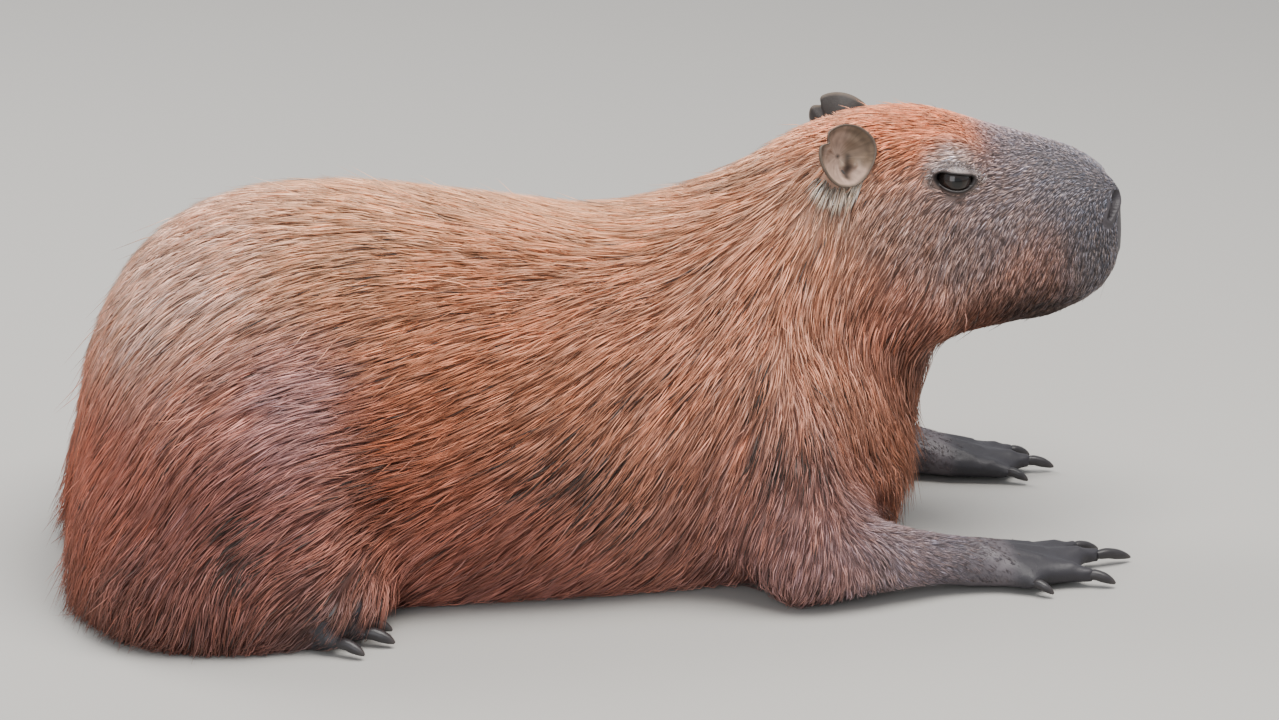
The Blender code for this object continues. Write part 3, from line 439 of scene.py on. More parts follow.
def handShare(points):
    # 1 on the forefeet, from the wrists on
    return smooth(points[:, 0], 0.215, 0.262) * smooth(0.115 - points[:, 2], 0, 0.03) * (np.abs(points[:, 1]) > 0.07)


def hindToeShare(points):
    low = smooth(0.040 - points[:, 2], 0, 0.012)
    return low * smooth(points[:, 0], -0.30, -0.285) * smooth(np.abs(points[:, 1]), 0.175, 0.19) \
        * (points[:, 0] < -0.15)


def easeShare(points):
    # how freely the skin relaxes: fully on the body, less round the knees, little on the head and the feet
    head = np.clip(1 - (aheadOf(points) + 0.03) / 0.06, 0.10, 1)
    hands = np.clip(1 - (points[:, 0] - 0.20) / 0.06, 0.04, 1)
    low = points[:, 2] < 0.09
    toes = low & (points[:, 0] > -0.30) & (points[:, 0] < -0.21) & (np.abs(points[:, 1]) > 0.19)
    share = np.where(toes & (points[:, 2] < 0.035), 0.15, np.where(low, hands, head))
    knee = bell(points[:, 0], body["knee"][0], 0.07) * bell(points[:, 2], body["knee"][1], 0.11)
    return share * (1 - 0.55 * knee * (np.abs(points[:, 1]) > 0.09))


def coatDepth(points):
    # how thick the coat lies: deep on the body, thin on the head and muzzle, almost none on the feet
    ahead = aheadOf(points)
    x, z = points[:, 0], points[:, 2]
    depth = np.interp(ahead, [-0.05, 0.0, 0.05, 0.12, 0.17], [0.0110, 0.0065, 0.0036, 0.0020, 0.0012])
    arm = (z < 0.09) & (x > 0.10) & (np.abs(points[:, 1]) > 0.09)
    depth = np.where(arm, np.interp(x, [0.10, 0.16, 0.21, 0.25], [0.0090, 0.0060, 0.0030, 0.0006]), depth)
    return depth * (1 - hindToeShare(points) * 0.95)


def finer(mesh, chosen):
    # every edge whose two ends are chosen is halved
    shell = bmesh.new()
    shell.from_mesh(mesh)
    bmesh.ops.triangulate(shell, faces=shell.faces)
    points = np.array([v.co for v in shell.verts])
    mask = chosen(points)
    edges = [e for e in shell.edges if mask[e.verts[0].index] and mask[e.verts[1].index]]
    bmesh.ops.subdivide_edges(shell, edges=edges, cuts=1, use_grid_fill=True)
    bmesh.ops.triangulate(shell, faces=shell.faces)
    shell.to_mesh(mesh)
    shell.free()
    return mesh


def flesh():
    # the forms fused on a fine grid, eased where they meet, and cut flat just over the floor
    forms = trunkForms() + headForms()
    for side, s in sides.items():
        forms += legForms(s) + footForms(side, s)
    made = looseObject(meshOf("skin", *stacked(forms)))
    fuse = made.modifiers.new("fuse", "REMESH")
    fuse.mode = "VOXEL"
    fuse.voxel_size = body["voxel"]
    mesh = applied(made)
    points, triangles = arraysOf(mesh)
    points = relaxed(points, triangles, body["relaxRounds"], easeShare(points))
    points[:, 0] -= body["lipBack"] * smooth(0.252 - points[:, 2], 0, 0.045) * smooth(points[:, 0], 0.355, 0.395)
    depth = coatDepth(points) * smooth(points[:, 2], -0.02, 0.02)
    points -= normalsOf(points, triangles) * depth[:, None]
    made = looseObject(meshOf("skin", points, triangles))
    square = ((-1, -1), (1, -1), (1, 1), (-1, 1))
    slab = np.array([[(x, y, z) for x, y in square] for z in (-0.5, body["floorGap"])], float)
    floor = looseObject(meshOf("floorCut", *ringSurface(slab)))
    cut = made.modifiers.new("cut", "BOOLEAN")
    cut.operation = "DIFFERENCE"
    cut.object = floor
    cut.solver = "MANIFOLD"
    mesh = applied(made)
    bpy.data.objects.remove(floor)
    return mesh


skinMesh = flesh()
print("stage: skin fused,", len(skinMesh.vertices), "points")

muzzle = {
    "nostrilLow": (0.3925, 0.0429, 0.2852), "nostrilHigh": (0.3996, 0.0360, 0.2995),
    "nostrilFacing": (0.60, 0.79, 0.08),
    "nostrilRadii": (0.0031, 0.0069),     # at its low and at its high end
    "nostrilDeep": 0.0120, "rimRise": 0.0010,
    "mouthTurn": 118, "mouthHub": (0.352, 0, 0.2245), "mouthSag": 0.0135,
    "grooveDeep": 0.0026, "grooveWide": 0.0012, "lipRise": 0.0009, "cleftDeep": 0.0016,
}
nostrilEnds = np.array(muzzle["nostrilLow"]), np.array(muzzle["nostrilHigh"])


def nearEyes(points, reach):
    return np.linalg.norm((folded(points) - eyes["centre"]) / (1, 1.5, 1), axis=1) < reach


def detailed(mesh):
    # the head and feet are refined step by step, relaxed a little after each halving
    levels = [
        (lambda p: (aheadOf(p) > -0.01) | (handShare(p) > 0.02) | (hindToeShare(p) > 0.02), 5),
        (lambda p: nearEyes(p, 0.026) | (p[:, 0] > 0.378) & (p[:, 2] > 0.20), 4),
        (lambda p: (p[:, 0] > 0.387) & (np.abs(p[:, 2] - 0.292) < 0.014) & (np.abs(p[:, 1]) > 0.027), 3),
    ]
    for chosen, rounds in levels:
        mesh = finer(mesh, chosen)
        points, triangles = arraysOf(mesh)
        points = relaxed(points, triangles, rounds, chosen(points) * 0.9)
        mesh = meshOf("skin", points, triangles)
    return mesh


def treeOf(points, triangles):
    return BVHTree.FromPolygons(points.tolist(), triangles.tolist())


def mouthPath(tree):
    # rays from outside towards a hub in the muzzle meet the skin along the line between the lips
    turn = np.radians(np.linspace(-muzzle["mouthTurn"], muzzle["mouthTurn"], 61))
    back = np.abs(turn) / turn.max()
    hub = np.array(muzzle["mouthHub"]) - np.outer(back ** 2, (0, 0, muzzle["mouthSag"]))
    out = np.stack([np.cos(turn), np.sin(turn), np.zeros_like(turn)], 1)
    return np.array([tree.ray_cast(Vector(h + o * 0.2), Vector(-o))[0] for h, o in zip(hub, out)])


def toLine(points, start, end):
    # distance to a straight line piece, and how far along it the nearest place lies
    run = end - start
    t = np.clip((points - start) @ run / (run @ run), 0, 1)
    return np.linalg.norm(points - start - t[:, None] * run, axis=1), t


def lineDistance(points, path):
    return np.min([toLine(points, a, b)[0] for a, b in zip(path, path[1:])], axis=0)


def eyeFrame(points):
    # metres across and above the line between the corners of an eye, seen from the side
    flat = points[:, [0, 2]] - eyeMiddle
    return flat @ eyeWay, flat @ np.array([-eyeWay[1], eyeWay[0]])


def hollowAt(points):
    # 1 on the edge of the hollow round an eye, less inside; and the height over the line between its corners
    across, above = eyeFrame(points)
    return np.sqrt((across / eyeHalf) ** 2 * 0.80 + (above / eyes["hollowHigh"]) ** 2), above


def besideHead(points):
    return (aheadOf(points) > 0.02) & (np.abs(points[:, 1]) > 0.03)


def nostrilRadius(t):
    low, high = muzzle["nostrilRadii"]
    return low + (high - low) * t


def mouthDistance(points, start):
    # distance to the line of the mouth, worked out from start forwards and one metre behind it
    distance = np.full(len(points), 1.0)
    front = points[:, 0] > start
    distance[front] = lineDistance(points[front], mouthLine)
    return distance


def carved(points, triangles):
    # nostrils, the line of the mouth, the cleft of the lip, the eyes' hollows and the tendons of the feet
    out = normalsOf(points, triangles)
    tree = treeOf(points, triangles)
    rise = np.zeros(len(points))
    front = points[:, 0] > 0.33
    snout = points[front]
    for s in sides.values():
        mirror = np.array([1, s, 1])
        low, high = (end * mirror for end in nostrilEnds)
        facing = unit(np.array(muzzle["nostrilFacing"]) * mirror)
        flat = snout - low - np.outer((snout - low) @ facing, facing)
        distance, t = toLine(flat, np.zeros(3), (high - low) - (high - low) @ facing * facing)
        radius = nostrilRadius(t)
        near = snout[:, 1] * s > 0.01
        pit = np.sqrt(np.clip(1 - (distance / radius) ** 2, 0, 1)) * muzzle["nostrilDeep"]
        rim = muzzle["rimRise"] * bell(distance, radius + 0.0016, 0.0020)
        rise[front] += np.where(near, rim - pit, 0)
    path = mouthPath(tree)
    distance = lineDistance(snout, path)
    rise[front] += muzzle["lipRise"] * bell(distance, 0.0036, 0.0022)
    rise[front] -= muzzle["grooveDeep"] * bell(distance, 0, muzzle["grooveWide"])
    cleft = (snout[:, 0] > 0.385) * smooth(snout[:, 2], 0.222, 0.230) * smooth(0.290 - snout[:, 2], 0, 0.010)
    rise[front] -= muzzle["cleftDeep"] * bell(snout[:, 1], 0, 0.0018) * cleft
    hollow = hollowAt(points)[0]
    rise -= np.where(besideHead(points), eyes["hollowDeep"] * smooth(1.45 - hollow, 0, 0.60), 0)
    for side, s in sides.items():
        wrist = np.array([feet["wrist"][0], feet["wrist"][1] * s, 0])
        top = smooth(out[:, 2], 0.1, 0.6) * (points[:, 1] * s > 0.05) * (points[:, 2] < 0.06)
        for knuckle, tip, thick in feet["foreToes"][side]:
            ends = [np.array([place[0], place[1] * s, 0]) for place in (knuckle, tip)]
            distance, t = toLine(points * (1, 1, 0), wrist + (ends[0] - wrist) * 0.12, ends[0])
            rise += feet["tendonRise"] * bell(distance, 0, 0.0042) * top * smooth(t, 0, 0.25)
            for share in (0.42, 0.66):
                joint = ends[0] + (ends[1] - ends[0]) * share
                rise += feet["jointRise"] * bell(np.linalg.norm(points * (1, 1, 0) - joint, axis=1), 0, 0.006) * top
    return points + out * rise[:, None], path


skinMesh = detailed(skinMesh)
skinPoints, skinTriangles = arraysOf(skinMesh)
plainTree = treeOf(skinPoints, skinTriangles)
skinPoints, mouthLine = carved(skinPoints, skinTriangles)
skinTriangles = facingOut(skinPoints, skinTriangles)
skinNormals = normalsOf(skinPoints, skinTriangles)
print("stage: skin detailed,", len(skinTriangles), "triangles")


# Marks of the coat's own colour, with some painted sheen and painted shade among them: a place and its reach in
# millimetres (x, y outwards, z, reach), and the coat's colour there
marksAndPaintedLight = [
    # The last place on the line below and the first two on the line after it are painted sheen on top of the rump; the
    # second of these two is partly the coat's own brown and partly painted sheen.
    (0, 0, 310, 70, 226, 168, 126), (-200, 0, 340, 80, 228, 172, 132), (-380, 0, 310, 70, 234, 186, 160),
    (-380, 100, 265, 40, 242, 206, 188), (-360, 160, 215, 34, 200, 137, 117), (-480, 0, 140, 80, 176, 96, 72),
    # The last place on the line below is painted sheen on the knee.
    (-440, 130, 180, 45, 174, 108, 92), (-470, 80, 30, 50, 105, 69, 60), (-270, 190, 200, 34, 182, 136, 136),
    # The first and the last place on the line below are painted shade in the crease in front of the thigh.
    (-212, 180, 180, 18, 120, 66, 48), (-340, 220, 120, 55, 150, 97, 88), (-205, 170, 120, 18, 122, 68, 54),
    (-360, 220, 30, 50, 114, 77, 69), (-100, 170, 210, 80, 208, 138, 102), (-165, 180, 165, 36, 182, 104, 74),
    (-120, 185, 100, 40, 148, 84, 68), (-100, 190, 70, 70, 145, 93, 86), (30, 150, 220, 70, 205, 144, 117),
    (90, 180, 120, 50, 158, 111, 103), (110, 190, 50, 34, 166, 126, 122), (100, 190, 5, 18, 92, 70, 68),
    (180, 170, 50, 28, 154, 137, 141), (235, 150, 30, 22, 132, 123, 130), (310, 140, 20, 40, 64, 62, 67),
    (-270, 220, 10, 28, 75, 64, 62), (220, 60, 120, 45, 160, 106, 84), (240, 30, 170, 30, 128, 91, 78),
    (110, 100, 260, 55, 209, 148, 121), (100, 0, 340, 50, 221, 166, 134), (180, 0, 370, 30, 210, 138, 102),
    (225, 20, 365, 24, 206, 128, 90), (262, 10, 358, 18, 200, 120, 84), (200, 60, 220, 28, 178, 118, 98),
    (245, 65, 280, 28, 146, 121, 114), (205, 70, 300, 20, 164, 133, 120), (330, 55, 245, 18, 161, 120, 107),
    (300, 55, 300, 24, 140, 124, 124), (310, 10, 352, 18, 145, 134, 140), (360, 30, 330, 24, 128, 124, 131),
    # The last place on the line below and the first and last on the line after it are painted shade under the chin.
    (395, 20, 300, 26, 90, 93, 103), (380, 45, 250, 22, 100, 97, 101), (335, 45, 212, 14, 50, 42, 42),
    (340, 20, 205, 24, 46, 40, 40), (290, 45, 198, 18, 98, 62, 50), (325, 50, 215, 14, 55, 44, 42),
    (155, 75, 320, 14, 184, 168, 154), (256, 58, 340, 8.5, 212, 199, 196), (0, 168, 205, 16, 118, 98, 90),
    (-55, 178, 135, 22, 122, 92, 86), (106, 168, 140, 20, 124, 94, 88), (-220, 205, 135, 14, 112, 84, 80),
    # The place on the line below is painted sheen on the knee as well.
    (-265, 200, 215, 22, 176, 150, 146),
]
plainCoat = (190, 134, 108)

# Dark lines that run on from the corners of the eye, as pairs of x and z
tearLines = [((0.2738, 0.3246), (0.2868, 0.3236)), ((0.2407, 0.3291), (0.2335, 0.3296))]
# Patches where many single hairs are dark: places and reaches as above
darkPatches = [
    (0, 168, 205, 20), (-55, 178, 135, 26), (106, 168, 140, 22), (-220, 205, 130, 20), (90, 150, 200, 12),
    (-10, 170, 90, 20), (-200, 100, 310, 22), (-330, 220, 100, 20),
]


def nearness(points, x, y, z, reach):
    # 1 at a place given in millimetres, falling off over its reach
    apart = folded(points) - np.array((x, y, z)) / 1000
    return np.exp(-0.5 * np.sum((apart / (reach / 1000)) ** 2, axis=1))


def toneAt(points):
    # the marks' colours, painted sheen and painted shade among them, blended by how near each is, over the plain
    # colour of the coat
    total = np.full((len(points), 1), 0.02)
    blend = total * linear(plainCoat)
    for *place, red, green, blue in marksAndPaintedLight:
        near = nearness(points, *place)[:, None] + 1e-9
        total = total + near
        blend = blend + near * linear((red, green, blue))
    tone = blend / total
    beside = (np.abs(points[:, 1]) > 0.03) & (points[:, 2] > 0.30)
    for start, end in tearLines:
        ends = [np.array([x, 0, z]) for x, z in (start, end)]
        line = bell(toLine(points * (1, 0, 1), *ends)[0], 0, 0.0018) * beside
        tone = mixed(tone, (58, 48, 46), 0.8 * line)
    return tone


def darkShare(points):
    return np.clip(sum(nearness(points, *patch) for patch in darkPatches), 0, 1)


# Lie of the coat: a place in millimetres (x, y outwards, z) and the way its hair points in hundredths
lies = [
    (380, 20, 330, -100, 0, 15), (385, 40, 270, -12, 10, -95), (360, 50, 250, -12, 10, -100),
    (330, 50, 280, -50, 10, -80), (310, 55, 240, -38, 0, -92), (250, 75, 250, -42, 0, -90),
    (220, 20, 375, -100, 0, 0), (215, 70, 310, -65, 0, -75), (300, 50, 320, -100, 10, -15),
    (340, 30, 200, -60, 10, -80), (255, 60, 285, -55, 0, -83), (295, 55, 268, -40, 0, -90),
    (256, 55, 346, -100, 10, 10), (257.5, 60, 325, -100, 0, -5), (160, 75, 315, -18, 0, -100),
    (120, 90, 300, -75, 0, -70), (140, 90, 250, -40, 0, -92), (80, 20, 330, -95, 0, -25),
    (70, 110, 270, -65, 10, -75), (20, 100, 280, -85, 10, -50), (70, 160, 190, -42, 5, -90),
    (100, 170, 130, -30, 5, -95), (0, 165, 210, -72, 5, -68), (-20, 175, 140, -65, 0, -75),
    (150, 130, 200, -10, 0, -100), (200, 100, 120, -5, 5, -100), (120, 190, 80, -25, 10, -95),
    (90, 200, 30, -35, 40, -85), (170, 180, 60, 45, 0, -80), (220, 160, 40, 90, 0, -35),
    (-100, 180, 180, -92, 0, -38), (-120, 170, 240, -93, 0, -32), (-200, 30, 325, -100, 0, 0),
    (-50, 30, 295, -100, 0, 0), (-40, 120, 240, -78, 0, -55), (-110, 110, 260, -90, 0, -34),
    (-250, 150, 270, -97, 5, -20), (-380, 50, 300, -85, 0, -50), (-380, 140, 250, -75, 0, -65),
    (-460, 50, 180, -12, 0, -100), (-490, 50, 60, -35, 0, -95), (-470, 130, 60, -60, 20, -75),
    (-280, 200, 200, -97, 0, -14), (-250, 190, 130, -95, 20, 10), (-210, 180, 140, -98, 0, -5),
    (-350, 200, 190, -82, 0, -58), (-320, 220, 120, -84, 0, -48), (-390, 200, 130, -38, 0, -92),
    (-420, 170, 180, -40, 0, -90), (-360, 230, 50, -15, 5, -100), (-280, 220, 80, -85, 5, -32),
    (-260, 220, 30, -60, 5, -75), (-160, 190, 60, -85, 0, -50), (-50, 180, 70, -80, 0, -60),
    (0, 50, 10, -100, 0, 0), (300, 30, 180, -60, 0, -80), (250, 40, 140, -30, 0, -95),
]


def lieAt(points, out):
    # the guides' ways blended by the cube of their nearness, laid on the skin
    spot = folded(points)
    way = np.zeros_like(points)
    for x, y, z, *to in lies:
        apart = np.linalg.norm(spot - np.array((x, y, z)) / 1000, axis=1)
        way += np.array(to) / 100 / (apart[:, None] + 0.01) ** 3
    way[:, 1] *= np.sign(points[:, 1]) + (points[:, 1] == 0)
    return unit(way - out * np.sum(way * out, axis=1, keepdims=True))


coat = {
    "bodyStrands": 98000, "faceStrands": 42000,
    "faceStart": 0.02,          # metres ahead of the cut behind the jaw
    "guides": 10000,            # how many hairs of each part the others are combed to
    "overShare": 0.42,          # share of the hairs that lie over the others
    "profile": (0.9, 1.0, 0),   # a hair's width at its root, on the way and at its tip
    "sunk": 0.0020,             # how deep a root lies under the skin
    "patch": 0.003,             # size of a strand's patch in the bake map
    "rootShade": 0.66, "tipShade": 1.16,      # brightness at the root and at the tip
    "dark": (72, 62, 58), "frost": (236, 196, 162),
}


def armShare(points):
    return (points[:, 2] < 0.09) & (points[:, 0] > 0.10) & (np.abs(points[:, 1]) > 0.09)


def crownShare(points):
    # 1 on top of the head from the nape to between the eyes
    ahead = aheadOf(points)
    top = smooth(points[:, 2], 0.325, 0.345) * smooth(0.056 - np.abs(points[:, 1]), 0, 0.012)
    return top * smooth(0.128 - ahead, 0, 0.016) * smooth(ahead, -0.01, 0.02)


def lipShare(points):
    # 1 on the sides of the upper lip
    return bell(points[:, 0], 0.368, 0.026) * bell(points[:, 2], 0.243, 0.026)


def upperArm(points):
    return bell(np.linalg.norm(folded(points) - (0.105, 0.17, 0.09), axis=1), 0, 0.065)


def coatLength(points):
    # long on the rump and neck, shorter along the head, shortest on muzzle, wrists and feet
    x, z = points[:, 0], points[:, 2]
    ahead = aheadOf(points)
    length = np.interp(x, [-0.48, -0.42, -0.25, 0.05, 0.20], [0.062, 0.058, 0.056, 0.058, 0.050])
    head = np.interp(ahead, [-0.03, 0.0, 0.04, 0.08, 0.12, 0.15, 0.18],
                     [0.046, 0.036, 0.025, 0.0180, 0.0122, 0.0088, 0.0060])
    head = head * (1 - 0.30 * smooth(z, 0.320, 0.345) * smooth(ahead, 0.09, 0.13))
    head = np.maximum(head, 0.027 * crownShare(points))
    head = head * (1 + 0.45 * lipShare(points))
    length = np.where(ahead > -0.03, np.minimum(length, head), length)
    arm = np.interp(x, [0.10, 0.15, 0.20, 0.25, 0.28], [0.034, 0.022, 0.013, 0.0075, 0.0045])
    length = length * (1 - 0.42 * upperArm(points))
    length = np.where(armShare(points), np.minimum(length, arm), length)
    return length * (1 - 0.75 * hindToeShare(points))


def tailFlare(points):
    # 1 low on the rump, where the hair stands away in a fringe
    return bell(points[:, 2], 0.036, 0.026) * smooth(-points[:, 0], 0.415, 0.455)


def coatHeight(points):
    # how far the tips stand off the skin: the coat's depth, a little more on the crown
    return coatDepth(points) + 0.0028 * crownShare(points)


def coatWidth(points):
    ahead = aheadOf(points)
    width = np.interp(ahead, [-0.03, 0.03, 0.08, 0.15], [0.00102, 0.00094, 0.00082, 0.00070])
    width = width * (1 - 0.22 * upperArm(points)) * (1 - 0.15 * lipShare(points))
    return np.where(armShare(points), np.interp(points[:, 0], [0.10, 0.25], [0.00085, 0.00050]), width)


def raggedness(points):
    # loose, ragged hair: low on the rump, on the chest and under the chin
    x, z = points[:, 0], points[:, 2]
    rump = smooth(-0.36 - x, 0, 0.06) * smooth(0.12 - z, 0, 0.06)
    chest = smooth(x, 0.17, 0.21) * smooth(0.17 - z, 0, 0.04) * (np.abs(points[:, 1]) < 0.12)
    return np.clip(rump + chest, 0, 1)


def bareShare(points, out):
    # 1 where no coat grows: hands, eyes, nostrils, the front of the nose, lips, ears and the belly on the floor
    x, y, z = points[:, 0], np.abs(points[:, 1]), points[:, 2]
    bare = smooth(x + 0.012 * valueNoise(points, 0.012, 4), 0.240, 0.305) * (handShare(points) > 0.3)
    bare = bare + (x > 0.225) * (z < 0.010) + (hollowAt(points)[0] < 1.30) * besideHead(points)
    bare = bare + 0.3 * smooth(hindToeShare(points), 0.5, 0.9)
    bare += (z < 0.012) & (out[:, 2] < -0.3)
    bare += mouthDistance(points, 0.36) < 0.0022
    bare += toLine(folded(points), *nostrilEnds)[0] < 0.0075
    bare += (x > 0.3975) & (y < 0.034) & (z > 0.232) & (z < 0.306)
    spot = earSpot(points)
    wide, high = np.where(spot[:, 0] > 0, 0.0245, 0.019), np.where(spot[:, 1] > 0, 0.0235, 0.0135)
    bare += ((spot[:, 0] / wide) ** 2 + (spot[:, 1] / high) ** 2 < 1) & (np.abs(spot[:, 2]) < 0.026)
    return np.clip(bare, 0, 1)


def clearOfEars(points, way, length):
    # hair that heads for an ear stops at its rim
    spot = earSpot(points)
    to = (way * (1, 0, 1) + way * np.sign(points[:, 1:2]) * (0, 1, 0)) @ ears["frame"].T
    distance = np.linalg.norm(spot[:, :2], axis=1)
    heading = -np.sum(spot[:, :2] * to[:, :2], axis=1) / np.maximum(distance, 1e-6)
    near = (heading > 0.45) & (distance < 0.065) & (np.abs(spot[:, 2]) < 0.035)
    return np.where(near, np.minimum(length, np.maximum((distance - 0.0255) * 1.1, 0.003)), length)


def clearOfEyes(points, way, length):
    # hair that heads for an eye stops short of its opening
    flat = points[:, [0, 2]] - eyeMiddle
    distance = np.linalg.norm(flat / (1.0, 0.60), axis=1)
    heading = -np.sum(flat * way[:, [0, 2]], axis=1)
    near = (heading > 0) & (distance < 0.06) & (np.abs(points[:, 1]) > 0.025)
    return np.where(near, np.minimum(length, np.maximum(distance - 0.0200, 0.0025)), length)


ears = {
    "at": (0.1650, 0.0650, 0.3520),     # middle of the rim
    "radii": (0.0240, 0.0248),
    "depth": 0.018, "thick": 0.0030, "rimRadius": 0.0009,
    "out": (0.34, 0.90, 0.26), "up": (0.06, -0.30, 0.95),
    "notch": 150,                       # degrees round the rim from its front
    "leftShift": (0.015, 0, -0.004),    # the left ear is turned a little further forward
    # folds of the inner wall: height, degrees round the rim and reach, share of the way out and reach
    "folds": [(0.0030, 60, 0.45, 0.62, 0.16), (0.0058, 330, 0.30, 0.55, 0.14),
              (-0.0035, 292, 0.22, 0.55, 0.20), (0.0030, 165, 0.40, 0.60, 0.15)],
    # slits and a ridge, as lines in shares of the width: start, end, reach, strength; the slits are painted dark,
    # which is painted shade
    "slits": [((0.36, 0.02), (0.28, -0.30), 0.10, 0.75), ((0.30, -0.38), (0.20, -0.72), 0.12, 0.92)],
    "ridge": ((0.12, -0.12), (0.16, -0.30), 0.06, 0.7),
    # top is a painted shadow along the top of the inner wall, under the rim.
    "outer": (39, 34, 32), "rim": (86, 74, 64), "inner": (156, 130, 115), "front": (98, 82, 64),
    "top": (74, 61, 48), "back": (84, 71, 60), "slitShade": (28, 21, 16), "pale": (168, 146, 126),
    "tuftLength": 0.027, "tuftHeight": 0.0085, "tuftWidth": 0.00085, "tuft": (200, 184, 168),
}
earOut = unit(np.array(ears["out"]))
earUp = unit(np.array(ears["up"]) - earOut * (np.array(ears["up"]) @ earOut))
ears["frame"] = np.array([np.cross(earUp, earOut) * -1, earUp, earOut])     # forwards, up and out of the cup


def earSpot(points):
    # metres forwards, up and out from the middle of an ear's rim
    return (folded(points) - ears["at"]) @ ears["frame"].T


def rootsOn(surface, weight, count):
    # equal steps along the running total of area times weight, so the roots spread evenly
    points, triangles, out, spots = surface
    a, b, c = (points[triangles[:, k]] for k in range(3))
    area = np.linalg.norm(np.cross(b - a, c - a), axis=1)
    total = np.cumsum(area * weight((a + b + c) / 3, unit(out[triangles].mean(1))))
    face = np.searchsorted(total, (np.arange(count) + draw.random(count)) / count * total[-1])
    face = np.minimum(face, len(triangles) - 1)
    u, v = draw.random((2, count))
    over = u + v > 1
    u, v = np.where(over, 1 - u, u), np.where(over, 1 - v, v)
    share = np.stack([1 - u - v, u, v], 1)[..., None]
    corners = triangles[face]
    return (points[corners] * share).sum(1), unit((out[corners] * share).sum(1)), (spots[face] * share).sum(1)


def skinPaths(tree, starts, out, way, length, steps):
    # guide lines that step along the skin, turning towards the lie of the coat as they go
    path, ups = [starts], [out]
    for _ in range(steps):
        found = [tree.find_nearest(place)[:2] for place in path[-1] + way * (length / steps)[:, None]]
        at, normal = np.array([f[0] for f in found]), np.array([f[1] for f in found])
        normal = unit(normal + ups[-1])
        way = unit(way - normal * np.sum(way * normal, axis=1, keepdims=True))
        way = unit(way * 0.6 + lieAt(at, normal) * 0.4)
        path.append(at)
        ups.append(normal)
    return np.stack(path, 1), np.stack(ups, 1)


def combed(tree, roots, out, length, height, guideCount, clump, stray, stations):
    # each strand follows its nearest guide and closes in on it towards the tip
    guide = np.sort(draw.permutation(len(roots))[:guideCount])
    wander = 0.22 * valueNoise(roots[guide], 0.06, 3) + draw.normal(0, 0.055, guideCount)
    way = lieAt(roots[guide], out[guide])
    way = way * np.cos(wander)[:, None] + np.cross(out[guide], way) * np.sin(wander)[:, None]
    steps, spare = 4, 1.15
    path, ups = skinPaths(tree, roots[guide], out[guide], way, length[guide] * spare, steps)
    index = KDTree(guideCount)
    for i, key in enumerate(roots[guide] + out[guide] * 0.02):
        index.insert(key, i)
    index.balance()
    mine = np.array([index.find(key)[1] for key in roots + out * 0.02])
    offset = roots - roots[guide][mine]
    ratio = length / (length[guide][mine] * spare)
    drift = draw.normal(0, 0.05, len(roots)) * (1 + 2.5 * stray)
    bow = draw.normal(0, 0.02, len(roots))
    lift = stray * draw.random(len(roots)) ** 2 * 0.30 + 0.34 * tailFlare(roots) * draw.uniform(0.4, 1, len(roots))
    centre, up = [], []
    for s in stations:
        f = np.clip(s * ratio, 0, 0.9999) * steps
        low = f.astype(int)
        share = (f - low)[:, None]
        at = path[mine, low] * (1 - share) + path[mine, low + 1] * share
        normal = unit(ups[mine, low] * (1 - share) + ups[mine, low + 1] * share)
        onward = path[mine, low + 1] - path[mine, low]
        side = unit(np.cross(normal, onward))
        rise = height * (1 - (1 - s) ** 1.8) + lift * length * s ** 1.5 - np.minimum(coat["sunk"], height) * (s == 0)
        sway = (drift * s + bow * math.sin(math.pi * s)) * length
        centre.append(at + offset * (1 - clump * s ** 1.4)[:, None] + side * sway[:, None] + normal * rise[:, None])
        up.append(normal)
    return np.stack(centre, 1), np.stack(up, 1), mine


def strandSurface(centre, up, width, profile):
    # three-sided tapered strands: a ring of three points at each station but the last, which is the tip
    count, stations = centre.shape[:2]
    along = unit(np.gradient(centre, axis=1))
    side = unit(np.cross(along, up))
    tall = np.cross(side, along)
    turn = np.radians([90, 210, 330])
    half = 0.5 * width[:, None] * np.array(profile[:-1])[None, :]
    rings = (centre[:, :-1, None] + side[:, :-1, None] * (half[..., None] * np.cos(turn))[..., None]
             + tall[:, :-1, None] * (0.62 * half[..., None] * np.sin(turn))[..., None])
    points = np.concatenate([rings.reshape(count, -1, 3), centre[:, -1:]], 1)
    each = points.shape[1]
    template = [(0, 2, 1)]
    for i in range(0, each - 4, 3):
        for a, b in ((0, 1), (1, 2), (2, 0)):
            template += [(i + a, i + b, i + 3 + b), (i + a, i + 3 + b, i + 3 + a)]
    template += [(each - 4 + a, each - 4 + b, each - 1) for a, b in ((0, 1), (1, 2), (2, 0))]
    template = facingOut(points[0], np.array(template))
    triangles = (np.arange(count)[:, None, None] * each + template[None]).reshape(-1, 3)
    return points, triangles


def furPieces(prefix, strands, pieces, material):
    # strands sorted from rump to nose and shared out over pieces of equal size;
    # each strand is a small patch of the bake map at its root's place
    *fields, stations, roots = strands
    s = np.append(np.repeat(stations[:-1], 3), 1.0)
    shade = np.interp(s, [0, 0.35, 0.75, 1], [coat["rootShade"], 0.86, 1.04, coat["tipShade"]])
    within = np.stack([np.append(np.tile([0.0, 0.5, 1.0], len(stations) - 1), 0.5), s], 1) - 0.5
    for number, chosen in enumerate(np.array_split(np.argsort(roots[:, 0]), pieces), 1):
        centre, up, width, tone, frost, spot = (field[chosen] for field in fields)
        points, triangles = strandSurface(centre, up, width, coat["profile"])
        each = points.shape[1]
        tones = tone[:, None] * shade[None, :, None]
        frosted = frost[:, None, None] * smooth(s, 0.3, 0.9)[None, :, None]
        tones = tones + frosted * (linear(coat["frost"]) - tones)
        patches = np.clip(spot[:, None] + within[None] * coat["patch"], 0, 1).reshape(-1, 2)
        points = points.reshape(-1, 3)
        points[:, 2] = np.maximum(points[:, 2], 0.0014 + 0.0006 * (np.arange(len(points)) % each) / each)
        finish(prefix + (str(number) if pieces > 1 else ""), points, triangles, material, (),
               tones.reshape(-1, 3), patches[triangles.ravel()])


